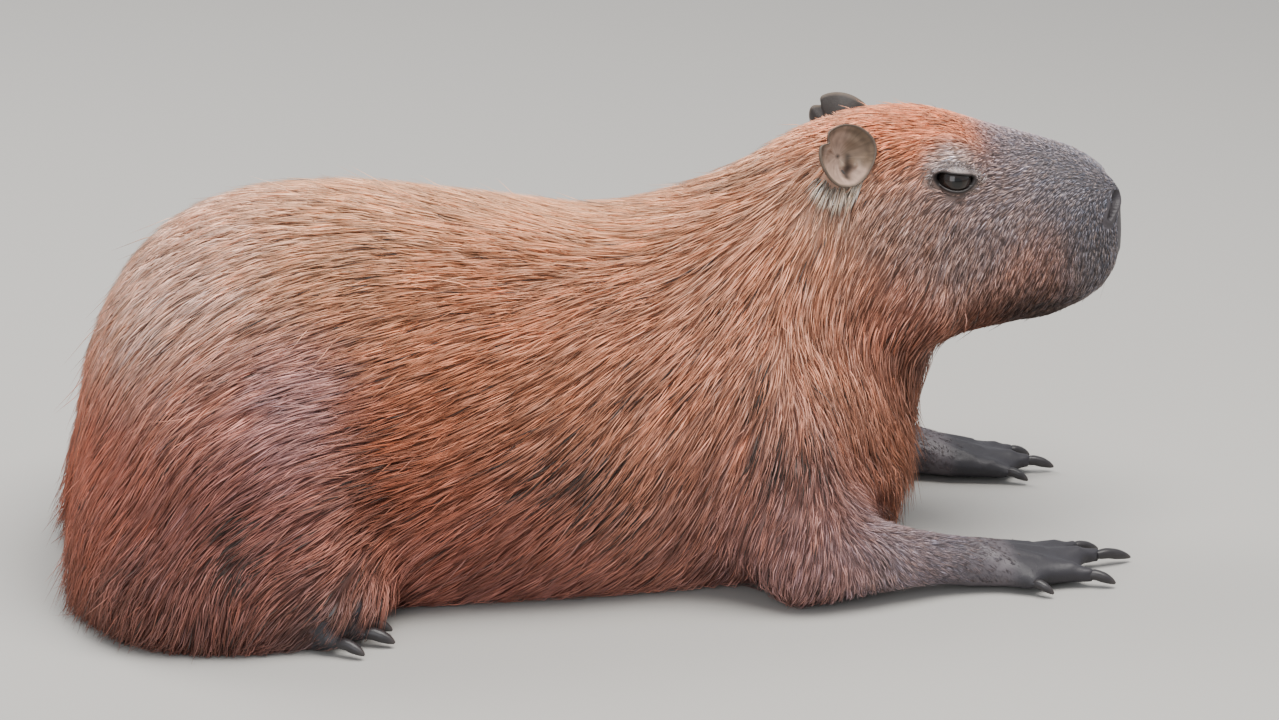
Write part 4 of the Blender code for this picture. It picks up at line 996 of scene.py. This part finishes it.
def unwrapped(mesh):
    # the skin laid flat in islands of like-facing triangles: the spot of every triangle's corner
    made = looseObject(mesh)
    bpy.context.view_layer.objects.active = made
    made.select_set(True)
    bpy.ops.object.mode_set(mode="EDIT")
    bpy.ops.mesh.select_all(action="SELECT")
    bpy.ops.uv.smart_project(angle_limit=math.radians(66), island_margin=0.002)
    bpy.ops.object.mode_set(mode="OBJECT")
    flat = made.data.uv_layers.active.data
    spots = np.empty(len(flat) * 2, np.float32)
    flat.foreach_get("uv", spots)
    bpy.data.objects.remove(made)
    return spots.reshape(-1, 3, 2).astype(float)


def newMaterial(name, roughness, specular, bumps=()):
    # bumps lie one over the other in Object coordinates: noise of some detail, or cells where the detail is 0
    material = bpy.data.materials.new(name)
    material.use_nodes = True
    nodes, links = material.node_tree.nodes, material.node_tree.links
    shader = nodes["Principled BSDF"]
    shader.inputs["Roughness"].default_value = roughness
    shader.inputs["Specular IOR Level"].default_value = specular
    place, normal = nodes.new("ShaderNodeTexCoord"), None
    for detail, scale, strength, distance in bumps:
        pattern = nodes.new("ShaderNodeTexNoise" if detail else "ShaderNodeTexVoronoi")
        if detail:
            pattern.inputs["Detail"].default_value = detail
        else:
            pattern.feature = "DISTANCE_TO_EDGE"
        pattern.inputs["Scale"].default_value = scale
        bump = nodes.new("ShaderNodeBump")
        bump.inputs["Strength"].default_value = strength
        bump.inputs["Distance"].default_value = distance
        links.new(place.outputs["Object"], pattern.inputs["Vector"])
        links.new(pattern.outputs["Fac" if detail else "Distance"], bump.inputs["Height"])
        if normal:
            links.new(normal, bump.inputs["Normal"])
        normal = bump.outputs["Normal"]
    if normal:
        links.new(normal, shader.inputs["Normal"])
    return material, shader


def toneMaterial(*recipe):
    # a material that takes its colour from the piece's own tones
    material, shader = newMaterial(*recipe)
    tone = material.node_tree.nodes.new("ShaderNodeAttribute")
    tone.attribute_name = "tone"
    material.node_tree.links.new(tone.outputs["Color"], shader.inputs["Base Color"])
    return material, shader


skinMaterial, _ = toneMaterial("bareSkin", 0.52, 0.45, [(0, 620, 0.35, 0.0005), (4, 260, 0.35, 0.0008)])
coatMaterial, _ = toneMaterial("coatHair", 0.50, 0.40)
faceMaterial, _ = toneMaterial("faceHair", 0.52, 0.40)
earMaterial, _ = toneMaterial("earSkin", 0.58, 0.35, [(4, 420, 0.4, 0.0006)])
lidMaterial, _ = toneMaterial("lidSkin", 0.48, 0.45, [(0, 900, 0.30, 0.0003), (4, 300, 0.3, 0.0005)])

spots = unwrapped(meshOf("unwrap", skinPoints, skinTriangles))
print("stage: skin laid flat")

bareTones = {
    "underCoat": 0.60,        # brightness of the skin against the coat over it
    "wrist": (84, 78, 82), "hand": (44, 42, 47), "handMottleAndShade": (28, 26, 30), "nose": (62, 56, 59),
    "lip": (48, 41, 43), "nostril": (14, 11, 12), "hollow": (120, 108, 104), "hollowLow": (96, 82, 78),
}


def skinTone(points, out):
    # the coat's marks, painted sheen and painted shade among them, darkened, with dark bare skin on the nose, lips,
    # round the eyes and on the feet
    ahead = aheadOf(points)
    tone = mixed(toneAt(points) * bareTones["underCoat"], bareTones["nose"], 0.8 * smooth(ahead, 0.11, 0.17))
    hand = np.clip(handShare(points) + hindToeShare(points), 0, 1)
    tone = mixed(tone, bareTones["wrist"], smooth(hand, 0.2, 0.8))
    hand = hand * np.maximum(smooth(points[:, 0], 0.270, 0.312), points[:, 0] < 0)
    tone = mixed(tone, bareTones["hand"], smooth(hand, 0.2, 0.8))
    # Dark mottling on the feet, and painted shade that darkens their sides and undersides more than their tops.
    mottled = 0.5 + 0.5 * valueNoise(points, 0.006, 5)
    mottleAndShade = (0.25 + 0.45 * mottled) * smooth(hand, 0.5, 1) * (1 - 0.6 * smooth(out[:, 2], 0.2, 0.9))
    tone = mixed(tone, bareTones["handMottleAndShade"], mottleAndShade)
    line = mouthDistance(points, 0.33)
    tone = mixed(tone, bareTones["lip"], 0.9 * smooth(0.0065 - line, 0, 0.005))
    # The line of the mouth and the nostrils are painted near black: painted shade in the groove and in the openings.
    tone = mixed(tone, bareTones["nostril"], smooth(0.0018 - line, 0, 0.0012) * 0.8)
    distance, t = toLine(folded(points), *nostrilEnds)
    tone = mixed(tone, bareTones["nostril"], smooth(nostrilRadius(t) + 0.0018 - distance, 0, 0.0028))
    hollow, above = hollowAt(points)
    share = smooth(1.9 - hollow, 0, 0.6) * besideHead(points)
    tone = mixed(tone, bareTones["hollow"], share * (above > 0))
    return mixed(tone, bareTones["hollowLow"], share * (above <= 0))


finish("skin", skinPoints, skinTriangles, skinMaterial,
       ("head", "neck", "torso", "foreleg_r", "foreleg_l", "haunch_r", "haunch_l",
        "forefoot_r", "forefoot_l", "hindfoot_r", "hindfoot_l"),
       skinTone(skinPoints, skinNormals), spots.reshape(-1, 2))

skinTree = treeOf(skinPoints, skinTriangles)
skinSurface = (skinPoints, skinTriangles, skinNormals, spots)


def bodyWeight(points, out):
    weight = (aheadOf(points) < coat["faceStart"]) * (1 - bareShare(points, out))
    weight = weight * (1 - 0.55 * smooth(-out[:, 2], 0.3, 0.9)) * (points[:, 2] > 0.004)
    weight = weight * np.where(np.abs(points[:, 1]) < 0.05, np.where(points[:, 2] < 0.03, 0.1, 1), 1)
    return weight * np.where(armShare(points), np.interp(points[:, 0], [0.10, 0.25], [1.5, 4.0]), 1)


def faceWeight(points, out):
    ahead = aheadOf(points)
    weight = (ahead >= coat["faceStart"]) * (1 - bareShare(points, out))
    return weight * np.interp(ahead, [0.02, 0.08, 0.15], [1.0, 1.9, 2.9])


def eyeOpening():
    # the outline of an eye's opening across and above the line between its corners
    turn = np.linspace(0, 2 * math.pi, 120, endpoint=False)
    c, n = np.cos(turn), np.sin(turn)
    rise = np.where(n > 0, eyes["above"] * np.abs(n) ** 0.75, -eyes["below"] * np.abs(n) ** 0.9)
    return np.stack([eyeHalf * c, rise], 1), c, n


def crossesOpening(centre):
    # true for a hair any part of which passes through the cup of an ear or over the opening of an eye
    crossing = np.zeros(len(centre), bool)
    opening = eyeOpening()[0]
    wide, high = opening.max(0) + 0.0012
    low = opening[:, 1].min() - 0.0012
    for station in range(centre.shape[1] - 1):
        for t in np.linspace(0.1, 1, 7):
            points = centre[:, station] * (1 - t) + centre[:, station + 1] * t
            spot = earSpot(points - np.array(ears["leftShift"]) * (points[:, 1:2] > 0))
            flat = np.hypot(spot[:, 0] / ears["radii"][0], spot[:, 1] / ears["radii"][1])
            crossing |= (flat < 0.93) & (spot[:, 2] > -0.021) & (spot[:, 2] < 0.010)
            across, above = eyeFrame(points)
            tall = np.where(above > 0, high, -low)
            crossing |= ((across / wide) ** 2 + (above / tall) ** 2 < 1) & (np.abs(points[:, 1]) > 0.03)
    return crossing


def grown(surface, tree, count, guides, rule):
    # hairs in two layers, a low dark one and a pale one over it, combed into bundles;
    # a rule is one value for all hairs or a function of their roots
    roots, out, spot = rootsOn(surface, rule["weight"], count)
    rule = {name: value(roots) if callable(value) else value for name, value in rule.items() if name != "weight"}
    over = draw.random(count) < coat["overShare"]
    stray = np.clip(raggedness(roots) + (draw.random(count) < 0.02), 0, 1)
    length = rule["length"] * np.where(over, draw.uniform(0.85, 1.15, count), draw.uniform(0.6, 1.0, count))
    way = lieAt(roots, out)
    length = clearOfEyes(roots, way, clearOfEars(roots, way, length))
    height = rule["height"] * np.where(over, draw.uniform(0.70, 1.08, count), draw.uniform(0.25, 0.60, count))
    loose = draw.random(count) < 0.12
    clump = np.where(loose, 0.1, np.where(over, draw.uniform(0.40, 0.72, count), draw.uniform(0.20, 0.5, count)))
    centre, up, mine = combed(tree, roots, out, length, height, guides, clump, stray, rule["stations"])
    width = rule["width"] * np.where(over, 1.08, 0.95) * draw.uniform(0.75, 1.25, count)
    along = roots - way * (0.85 * np.sum(roots * way, axis=1, keepdims=True))
    streak = sum(valueNoise(along, size, seed) * 0.4 for size, seed in ((0.006, 8), (0.014, 9), (0.035, 10)))
    bright = draw.normal(0, 0.15, guides)[mine] + draw.normal(0, rule["spread"], count) + 0.20 * streak
    bright += np.where(over, 0.42, -0.58) * rule["gap"]
    tone = rule["tone"] * np.exp(bright)[:, None]
    warm = draw.normal(0, 0.05, count) + draw.normal(0, 0.04, guides)[mine]
    tone = tone * np.exp(np.stack([warm, np.zeros(count), -warm], 1))
    dark = draw.random(count) < np.maximum(0.42 * darkShare(roots), 0.03)
    tone = np.where(dark[:, None], linear(coat["dark"]) * np.exp(draw.normal(0, 0.3, count))[:, None], tone)
    frost = rule["frost"] * draw.random(count) ** 2 * over * ~dark
    kept = ~crossesOpening(centre)
    return (*(field[kept] for field in (centre, up, width, tone, frost, spot)), rule["stations"], roots[kept])


coatRule = {"length": coatLength, "height": coatHeight, "width": coatWidth, "tone": toneAt}
furPieces("coatBody", grown(skinSurface, skinTree, coat["bodyStrands"], coat["guides"], {
    **coatRule, "weight": bodyWeight, "stations": (0, 0.45, 1), "spread": 0.19, "gap": 0.42,
    "frost": lambda p: 0.16 + 0.22 * bell(p[:, 2], 0.30, 0.08)}), 6, coatMaterial)
print("stage: coat of the body")
furPieces("coatFace", grown(skinSurface, skinTree, coat["faceStrands"], coat["guides"], {
    **coatRule, "weight": faceWeight, "stations": (0, 0.5, 1), "spread": 0.26, "gap": 0.75,
    "frost": lambda p: 0.18 + 0.22 * smooth(aheadOf(p), 0.08, 0.15)}), 3, faceMaterial)
print("stage: coat of the face")


def earTuftWeight(points, out):
    # a ring on the skin below and behind each ear
    spot = earSpot(points)
    ring = np.hypot(spot[:, 0] - 0.002, spot[:, 1] * 0.9)
    near = (spot[:, 1] < -0.004) & (spot[:, 0] > -0.010) & (np.abs(spot[:, 2]) < 0.03)
    return ((ring > 0.0170) & (ring < 0.0255) & near).astype(float)


furPieces("coatEars", grown(skinSurface, skinTree, 900, 260, {
    "weight": earTuftWeight, "length": ears["tuftLength"], "height": ears["tuftHeight"], "width": ears["tuftWidth"],
    "tone": linear(ears["tuft"]), "stations": (0, 0.5, 1), "spread": 0.30, "gap": 0.5, "frost": 0.3}), 1, faceMaterial)


def earPiece(side, s):
    # an open cup: an inner wall, a rolled rim and an outer wall, its outline an oval with a notch at the back
    wide, high = ears["radii"]
    middle = np.array(ears["at"]) * (1, s, 1) + np.array(ears["leftShift"]) * (side == "l")
    forwards, up, out = (axis * (1, s, 1) for axis in ears["frame"])
    turn = np.linspace(0, 2 * math.pi, 96, endpoint=False)
    notch = 1 - 0.24 * bell(turn, math.radians(ears["notch"]), 0.17) + 0.07 * bell(turn, math.radians(192), 0.45)
    notch += 0.012 * np.sin(3 * turn + 1) + 0.010 * np.sin(5 * turn)
    across = wide * np.cos(turn) * notch * (1 + 0.14 * np.sin(turn))
    tall = high * np.sin(turn) * notch
    rim = ears["rimRadius"] * (1 + 0.3 * np.sin(2 * turn + 0.5))
    rows = []
    for v in np.linspace(0.12, 0.97, 22):
        fold = sum(rise * bell(turn, math.radians(angle), around) * bell(v, at, reach)
                   for rise, angle, around, at, reach in ears["folds"])
        rows.append((v, -ears["depth"] * (1 - v ** 2.2) + fold, 0.0 * turn))
    inside = len(rows)
    for roll in np.linspace(0.15, 0.85, 6) * math.pi:
        rows.append((1.0, rim * math.sin(roll) * 1.2, rim * (1 - math.cos(roll))))
    for v in np.linspace(1.0, 0.12, 14):
        rows.append((v, -ears["depth"] * (1 - v ** 2.2) - ears["thick"] * (1.3 - v), 2 * rim * v))
    rings = [middle + np.outer(across * (v + grow / wide), forwards) + np.outer(tall * (v + grow / wide), up)
             + out * (np.zeros(96) + depth)[:, None] for v, depth, grow in rows]
    points, triangles = ringSurface(np.array(rings))
    inner = np.zeros(len(points))
    inner[:inside * 96] = 1
    v = np.r_[np.repeat([row[0] for row in rows], 96), 0.1, 0.1]
    angle = np.r_[np.tile(turn, len(rows)), 0, 0]
    edge = smooth(v, 0.93, 1.0)
    local = (points - middle) @ np.array([forwards, up]).T / wide
    tone = mixed(plain(ears["outer"], points), ears["rim"], edge)
    # top darkens the inner wall under the upper rim: painted shadow.
    for colour, share in (("inner", 1 - 0.6 * edge),
                          ("front", 0.7 * smooth(local[:, 0], -0.05, 0.35) * smooth(local[:, 1], -0.55, -0.1)),
                          ("top", 0.6 * bell(v, 0.88, 0.10) * smooth(np.sin(angle + 0.5), -0.2, 0.5)),
                          ("back", 0.8 * smooth(-local[:, 0], 0.62, 0.95))):
        tone = mixed(tone, ears[colour], inner * share)
    # the slits are painted as dark lines: painted shade in them
    for colour, (start, end, reach, strength) in zip(("slitShade", "slitShade", "pale"), (*ears["slits"], ears["ridge"])):
        line = bell(toLine(local, np.array(start), np.array(end))[0], 0, reach)
        tone = mixed(tone, ears[colour], inner * strength * line)
    rays = valueNoise(np.stack([np.cos(angle) * 14, np.sin(angle) * 14, v * 5], 1), 1.0, 21)
    tone = tone * np.exp((0.20 * inner + 0.06) * rays + 0.16 * valueNoise(points, 0.0035, 22))[:, None]
    finish("ear_" + side + "_cup", points, triangles, earMaterial, ("ear_" + side,), tone)


lids = {
    "rings": (-0.0012, -0.0006, 0.0, 0.0004, 0.0010, 0.0018, 0.0028, 0.0038, 0.0048, 0.0058, 0.0068,
              0.0078, 0.0088, 0.0098, 0.0108, 0.0120),     # how far each ring lies outside the opening
    "over": 0.0016,            # how far a lid stands over the eyeball
    # fold is painted shade along the folds of the lids.
    "upper": (138, 126, 123), "lower": (84, 74, 70), "fold": (70, 58, 56), "margin": (34, 28, 27),
    "corner": (44, 37, 36), "hairLow": (126, 110, 103), "hairHigh": (214, 200, 197),
}


def lidPiece(side, s):
    # rings round the opening of the eye: a tucked rim, a rounded margin, then folds that run out over the skin
    opening, c, n = eyeOpening()
    tangent = np.roll(opening, -1, 0) - np.roll(opening, 1, 0)
    normal = unit(np.stack([tangent[:, 1], -tangent[:, 0]], 1))
    normal = unit(normal + 0.6 * np.stack([c, n * 0.6], 1))
    corner = np.abs(c) ** 8
    eyeX, eyeY, eyeZ = eyes["centre"]
    offsets = np.array((*lids["rings"], eyes["lidReach"]))
    rings = []
    for number, r in enumerate(offsets):
        flat = opening + normal * r * np.where(n > 0, 0.92, 1.0)[:, None]
        x = eyeMiddle[0] + flat[:, 0] * eyeWay[0] - flat[:, 1] * eyeWay[1]
        z = eyeMiddle[1] + flat[:, 0] * eyeWay[1] + flat[:, 1] * eyeWay[0]
        away = np.hypot(x - eyeX, z - eyeZ)
        ball = np.sqrt(np.maximum((eyes["radius"] + lids["over"]) ** 2 - away ** 2, 0.0075 ** 2))
        ground = np.array([plainTree.ray_cast(Vector((px, 0.2 * s, pz)), Vector((0, -s, 0)))[0].y * s
                           for px, pz in zip(x, z)]) - eyeY
        share = np.clip(smooth(r, 0.0015, 0.0105) + 0.75 * corner * smooth(r, -0.001, 0.003), 0, 1)
        y = ball * (1 - share) + ground * share
        y += 0.0009 * bell(r, 0.0014, 0.0016) * (1 - corner)
        folds = 0.0010 * bell(r, 0.0066, 0.0008) + 0.0007 * bell(r, 0.0094, 0.0009)
        y -= folds * smooth(n, -0.1, 0.5) + 0.0008 * bell(r, 0.0058, 0.0010) * smooth(-n, 0.0, 0.6)
        y -= 0.0022 * (r >= offsets[-1]) + 0.0004 * (r > 0.0118)
        if number < 2:
            y = np.sqrt(np.maximum((eyes["radius"] - 0.0012 + 0.0010 * number) ** 2 - away ** 2, 0.006 ** 2)) - 0.0006
        rings.append(np.stack([x, (eyeY + y) * s, z], 1))
    deep = [ring + np.array([0, -0.006 * s, 0]) for ring in (rings[0], rings[-1])]
    rings = np.array([deep[0]] + rings + [deep[1]])
    points, triangles = ringSurface(np.concatenate([rings, rings[:1]]), closed=False)
    points, triangles = points[:len(rings) * 120], triangles % (len(rings) * 120)
    r = np.repeat(np.r_[-0.004, offsets, 0.016], 120)
    up, ends = np.tile(n, len(rings)), np.tile(np.abs(c), len(rings))
    edge = smooth(0.0118 - r, 0, 0.005)
    # painted shade along the folds of the lids
    lines = (bell(r, 0.0066, 0.0009) + bell(r, 0.0094, 0.0010)) * smooth(up, -0.1, 0.4)
    lines = lines + bell(r, 0.0058, 0.0010) * (up < 0)
    tone = toneAt(points)
    for colour, share in (("upper", edge * smooth(up, -0.15, 0.3) * 0.85),
                          ("lower", edge * smooth(-up, -0.15, 0.3) * 0.85),
                          ("fold", 0.55 * np.clip(lines, 0, 1)),
                          ("margin", smooth(0.0030 - r, 0, 0.0020)),
                          ("corner", smooth(ends, 0.93, 0.995) * smooth(0.0090 - r, 0, 0.004) * 0.85)):
        tone = mixed(tone, lids[colour], share)
    triangles = facingOut(points - points.mean(0), triangles)
    finish("lid_" + side, points, triangles, lidMaterial, (), tone)
    lidCoat(side, s, points, triangles)


def lidDistance(points):
    # metres outside the opening of the eye, seen from the side, and the height over the line between its corners
    opening = eyeOpening()[0]
    flat = np.stack(eyeFrame(points), 1)
    return lineDistance(flat, np.vstack([opening, opening[:1]])), flat[:, 1]


def lidTone(points):
    return mixed(plain(lids["hairLow"], points), lids["hairHigh"], smooth(lidDistance(points)[1], -0.003, 0.003))


def lidCoat(side, s, points, triangles):
    # short hairs over the lids, kept off their margins
    near = [skinTree.find_nearest(place)[2] for place in points[triangles].mean(1)]
    surface = (points, triangles, normalsOf(points, triangles), spots[near])
    furPieces("coatLid_" + side, grown(surface, treeOf(points, triangles), 1500, 500, {
        "weight": lambda p, o: (lidDistance(p)[0] > 0.0026) * (o[:, 1] * s > 0.1) * 1.0,
        "length": lambda p: 0.0030 + 0.25 * lidDistance(p)[0], "height": lambda p: 0.0005 + 0.06 * lidDistance(p)[0],
        "width": 0.00045, "tone": lidTone, "stations": (0, 0.5, 1), "spread": 0.25, "gap": 0.6, "frost": 0.2}),
        1, faceMaterial)


def eyePiece(side, s, material):
    # a round ball with a slightly bulged cornea, an iris and a pupil
    latitude = np.linspace(0.03, math.pi - 0.03, 40)[:, None]
    longitude = np.linspace(0, 2 * math.pi, 64, endpoint=False)[None, :]
    grid = np.stack([np.sin(latitude) * np.cos(longitude), np.cos(latitude) * np.ones_like(longitude) * s,
                     np.sin(latitude) * np.sin(longitude)], -1)
    bulge = 1 + eyes["bulge"] * smooth(np.cos(latitude), 0.75, 0.98)
    points, triangles = ringSurface(grid * (eyes["radius"] * bulge)[..., None] + np.array(eyes["centre"]) * (1, s, 1))
    away = np.hypot(points[:, 0] - eyes["centre"][0], points[:, 2] - eyes["centre"][2])
    outer = points[:, 1] * s > eyes["centre"][1]
    flecks = 0.75 + 0.25 * valueNoise(points, 0.001, 3)
    tone = mixed(plain(eyes["ball"], points), eyes["iris"], smooth(0.0095 - away, 0, 0.001) * outer * flecks)
    tone = mixed(tone, eyes["pupil"], smooth(0.0048 - away, 0, 0.0006) * outer)
    finish("eyeball_" + side, points, triangles, material, ("eye_" + side,), tone)


claws = {
    # share of the way from knuckle to tip, height of the middle, share of the toe's thickness
    "rows": [(0.62, 0.0112, 0.34), (0.72, 0.0112, 0.42), (0.82, 0.0096, 0.42), (0.91, 0.0074, 0.33),
             (0.97, 0.0055, 0.20), (1.0, 0.0044, 0.08)],
    "horn": (40, 37, 39), "tip": (62, 56, 55),
}


def clawPiece(name, knuckle, tip, thick, s, material):
    # a blunt tapering tube with a flat underside, its root in the toe
    start = np.array([knuckle[0], knuckle[1] * s])
    run = np.array([tip[0] - knuckle[0], (tip[1] - knuckle[1]) * s])
    rows = [(*(start + run * t), z, thick * size, thick * size) for t, z, size in claws["rows"]]
    points, triangles = tubeForm(rows, power=2.3, steps=26, around=20, roundEnds=False)
    along = toLine(points * (1, 1, 0), np.r_[start, 0], np.r_[start + run, 0])[1]
    tone = mixed(plain(claws["horn"], points), claws["tip"], smooth(along, 0.90, 1.0) * 0.8)
    tone = tone * np.exp(0.25 * valueNoise(points * (0.25, 1, 1), 0.0012, 15))[:, None]
    finish(name + "_horn", points, triangles, material, (name,), tone)


eyeMaterial, eyeShader = toneMaterial("eyeBall", 0.10, 0.35)
eyeShader.inputs["Coat Weight"].default_value = 0.35
eyeShader.inputs["Coat Roughness"].default_value = 0.02
clawMaterial, _ = toneMaterial("clawHorn", 0.42, 0.5, [(4, 350, 0.25, 0.0005)])
for side, s in sides.items():
    earPiece(side, s)
    lidPiece(side, s)
    eyePiece(side, s, eyeMaterial)
    for foot, toes in (("forefoot", feet["foreToes"][side]), ("hindfoot", feet["hindToes"])):
        for number, toe in enumerate(toes, 1):
            clawPiece("%s_%s_claw_%d" % (foot, side, number), *toe, s, clawMaterial)
print("stage: ears, lids, eyes and claws")


whiskers = {"width": 0.00040, "profile": (1.0, 0.8, 0.5, 0), "tone": (38, 32, 31)}


def whiskerPiece():
    # long thin hairs in rows on the upper lip, bent back towards their tips
    centres, ups = [], []
    for s, row, place in itertools.product(sides.values(), range(3), range(5)):
        x = 0.392 - 0.009 * place - 0.003 * row
        z = 0.272 - 0.0105 * row + 0.002 * place
        hit, normal = skinTree.ray_cast(Vector((x, 0.2 * s, z)), Vector((0, -s, 0)))[:2]
        if hit is None:
            continue
        out = np.array(normal)
        length = 0.030 + 0.016 * draw.random() + 0.002 * place
        way = unit(out * 0.75 + np.array([-0.45 + 0.25 * draw.random(), 0, -0.40 + 0.2 * draw.random()]))
        t = np.array([0, 0.3, 0.65, 1])[:, None]
        centres.append(np.array(hit) - out * 0.0015 + way * length * t
                       + np.array([-0.35, 0, -0.25]) * length * t ** 2.2)
        ups.append(np.tile(out, (4, 1)))
    widths = np.full(len(centres), whiskers["width"])
    points, triangles = strandSurface(np.array(centres), np.array(ups), widths, whiskers["profile"])
    points = points.reshape(-1, 3)
    finish("whiskers", points, triangles, faceMaterial, (), plain(whiskers["tone"], points))


whiskerPiece()
print("stage: whiskers")

studio = {
    "floor": (168, 166, 162), "floorHalf": 9.0, "world": (0.80, 0.82, 0.86), "worldStrength": 0.88,
    # each light's place, size in metres, watts and colour; all look at aim
    "lights": {"key": ((0.5, -0.5, 2.6), 1.8, 128.0, (1.0, 0.97, 0.93)),
               "fill": ((-1.2, -3.0, 1.2), 2.2, 46.0, (0.95, 0.97, 1.0)),
               "rim": ((-1.6, 1.6, 2.2), 1.4, 62.0, (1.0, 0.98, 0.96))},
    "aim": (0, 0, 0.15),
    "azimuth": -7.0, "elevation": 18.0, "distance": 3.94, "target": (0.0, 0.0, 0.161), "lens": 131.3,
}


def floorPiece():
    # a flat square far wider than the view, with fine grain
    half = studio["floorHalf"]
    points = np.array([(-half, -half, 0), (half, -half, 0), (half, half, 0), (-half, half, 0)], float)
    mesh = meshOf("floor", points, np.array([(0, 1, 2), (0, 2, 3)]))
    material, shader = newMaterial("floorPaint", 0.75, 0.3, [(2, 40, 0.08, 0.002)])
    shader.inputs["Base Color"].default_value = (*linear(studio["floor"]), 1)
    mesh.materials.append(material)
    looseObject(mesh)


def areaLight(name, place, size, watts, colour):
    light = bpy.data.lights.new(name, "AREA")
    light.size = size
    light.energy = watts
    light.color = colour
    lamp = bpy.data.objects.new(name, light)
    lamp.location = place
    lamp.rotation_euler = (Vector(studio["aim"]) - Vector(place)).to_track_quat("-Z", "Y").to_euler()
    bpy.context.scene.collection.objects.link(lamp)


floorPiece()
for name, light in studio["lights"].items():
    areaLight(name, *light)
world = bpy.data.worlds.new("room")
world.use_nodes = True
world.node_tree.nodes["Background"].inputs["Color"].default_value = (*studio["world"], 1)
world.node_tree.nodes["Background"].inputs["Strength"].default_value = studio["worldStrength"]
bpy.context.scene.world = world

azimuth, elevation = math.radians(studio["azimuth"]), math.radians(studio["elevation"])
target = np.array(studio["target"]) + toFrame
cameraWay = np.array([math.sin(azimuth) * math.cos(elevation), -math.cos(azimuth) * math.cos(elevation),
                      math.sin(elevation)])
camera = bpy.data.objects.new("camera", bpy.data.cameras.new("camera"))
camera.data.lens = studio["lens"]
camera.data.sensor_width = 36
camera.location = target + cameraWay * studio["distance"]
camera.rotation_euler = Vector(-cameraWay).to_track_quat("-Z", "Y").to_euler()
bpy.context.scene.collection.objects.link(camera)
bpy.context.scene.camera = camera

print("stage: scene done")
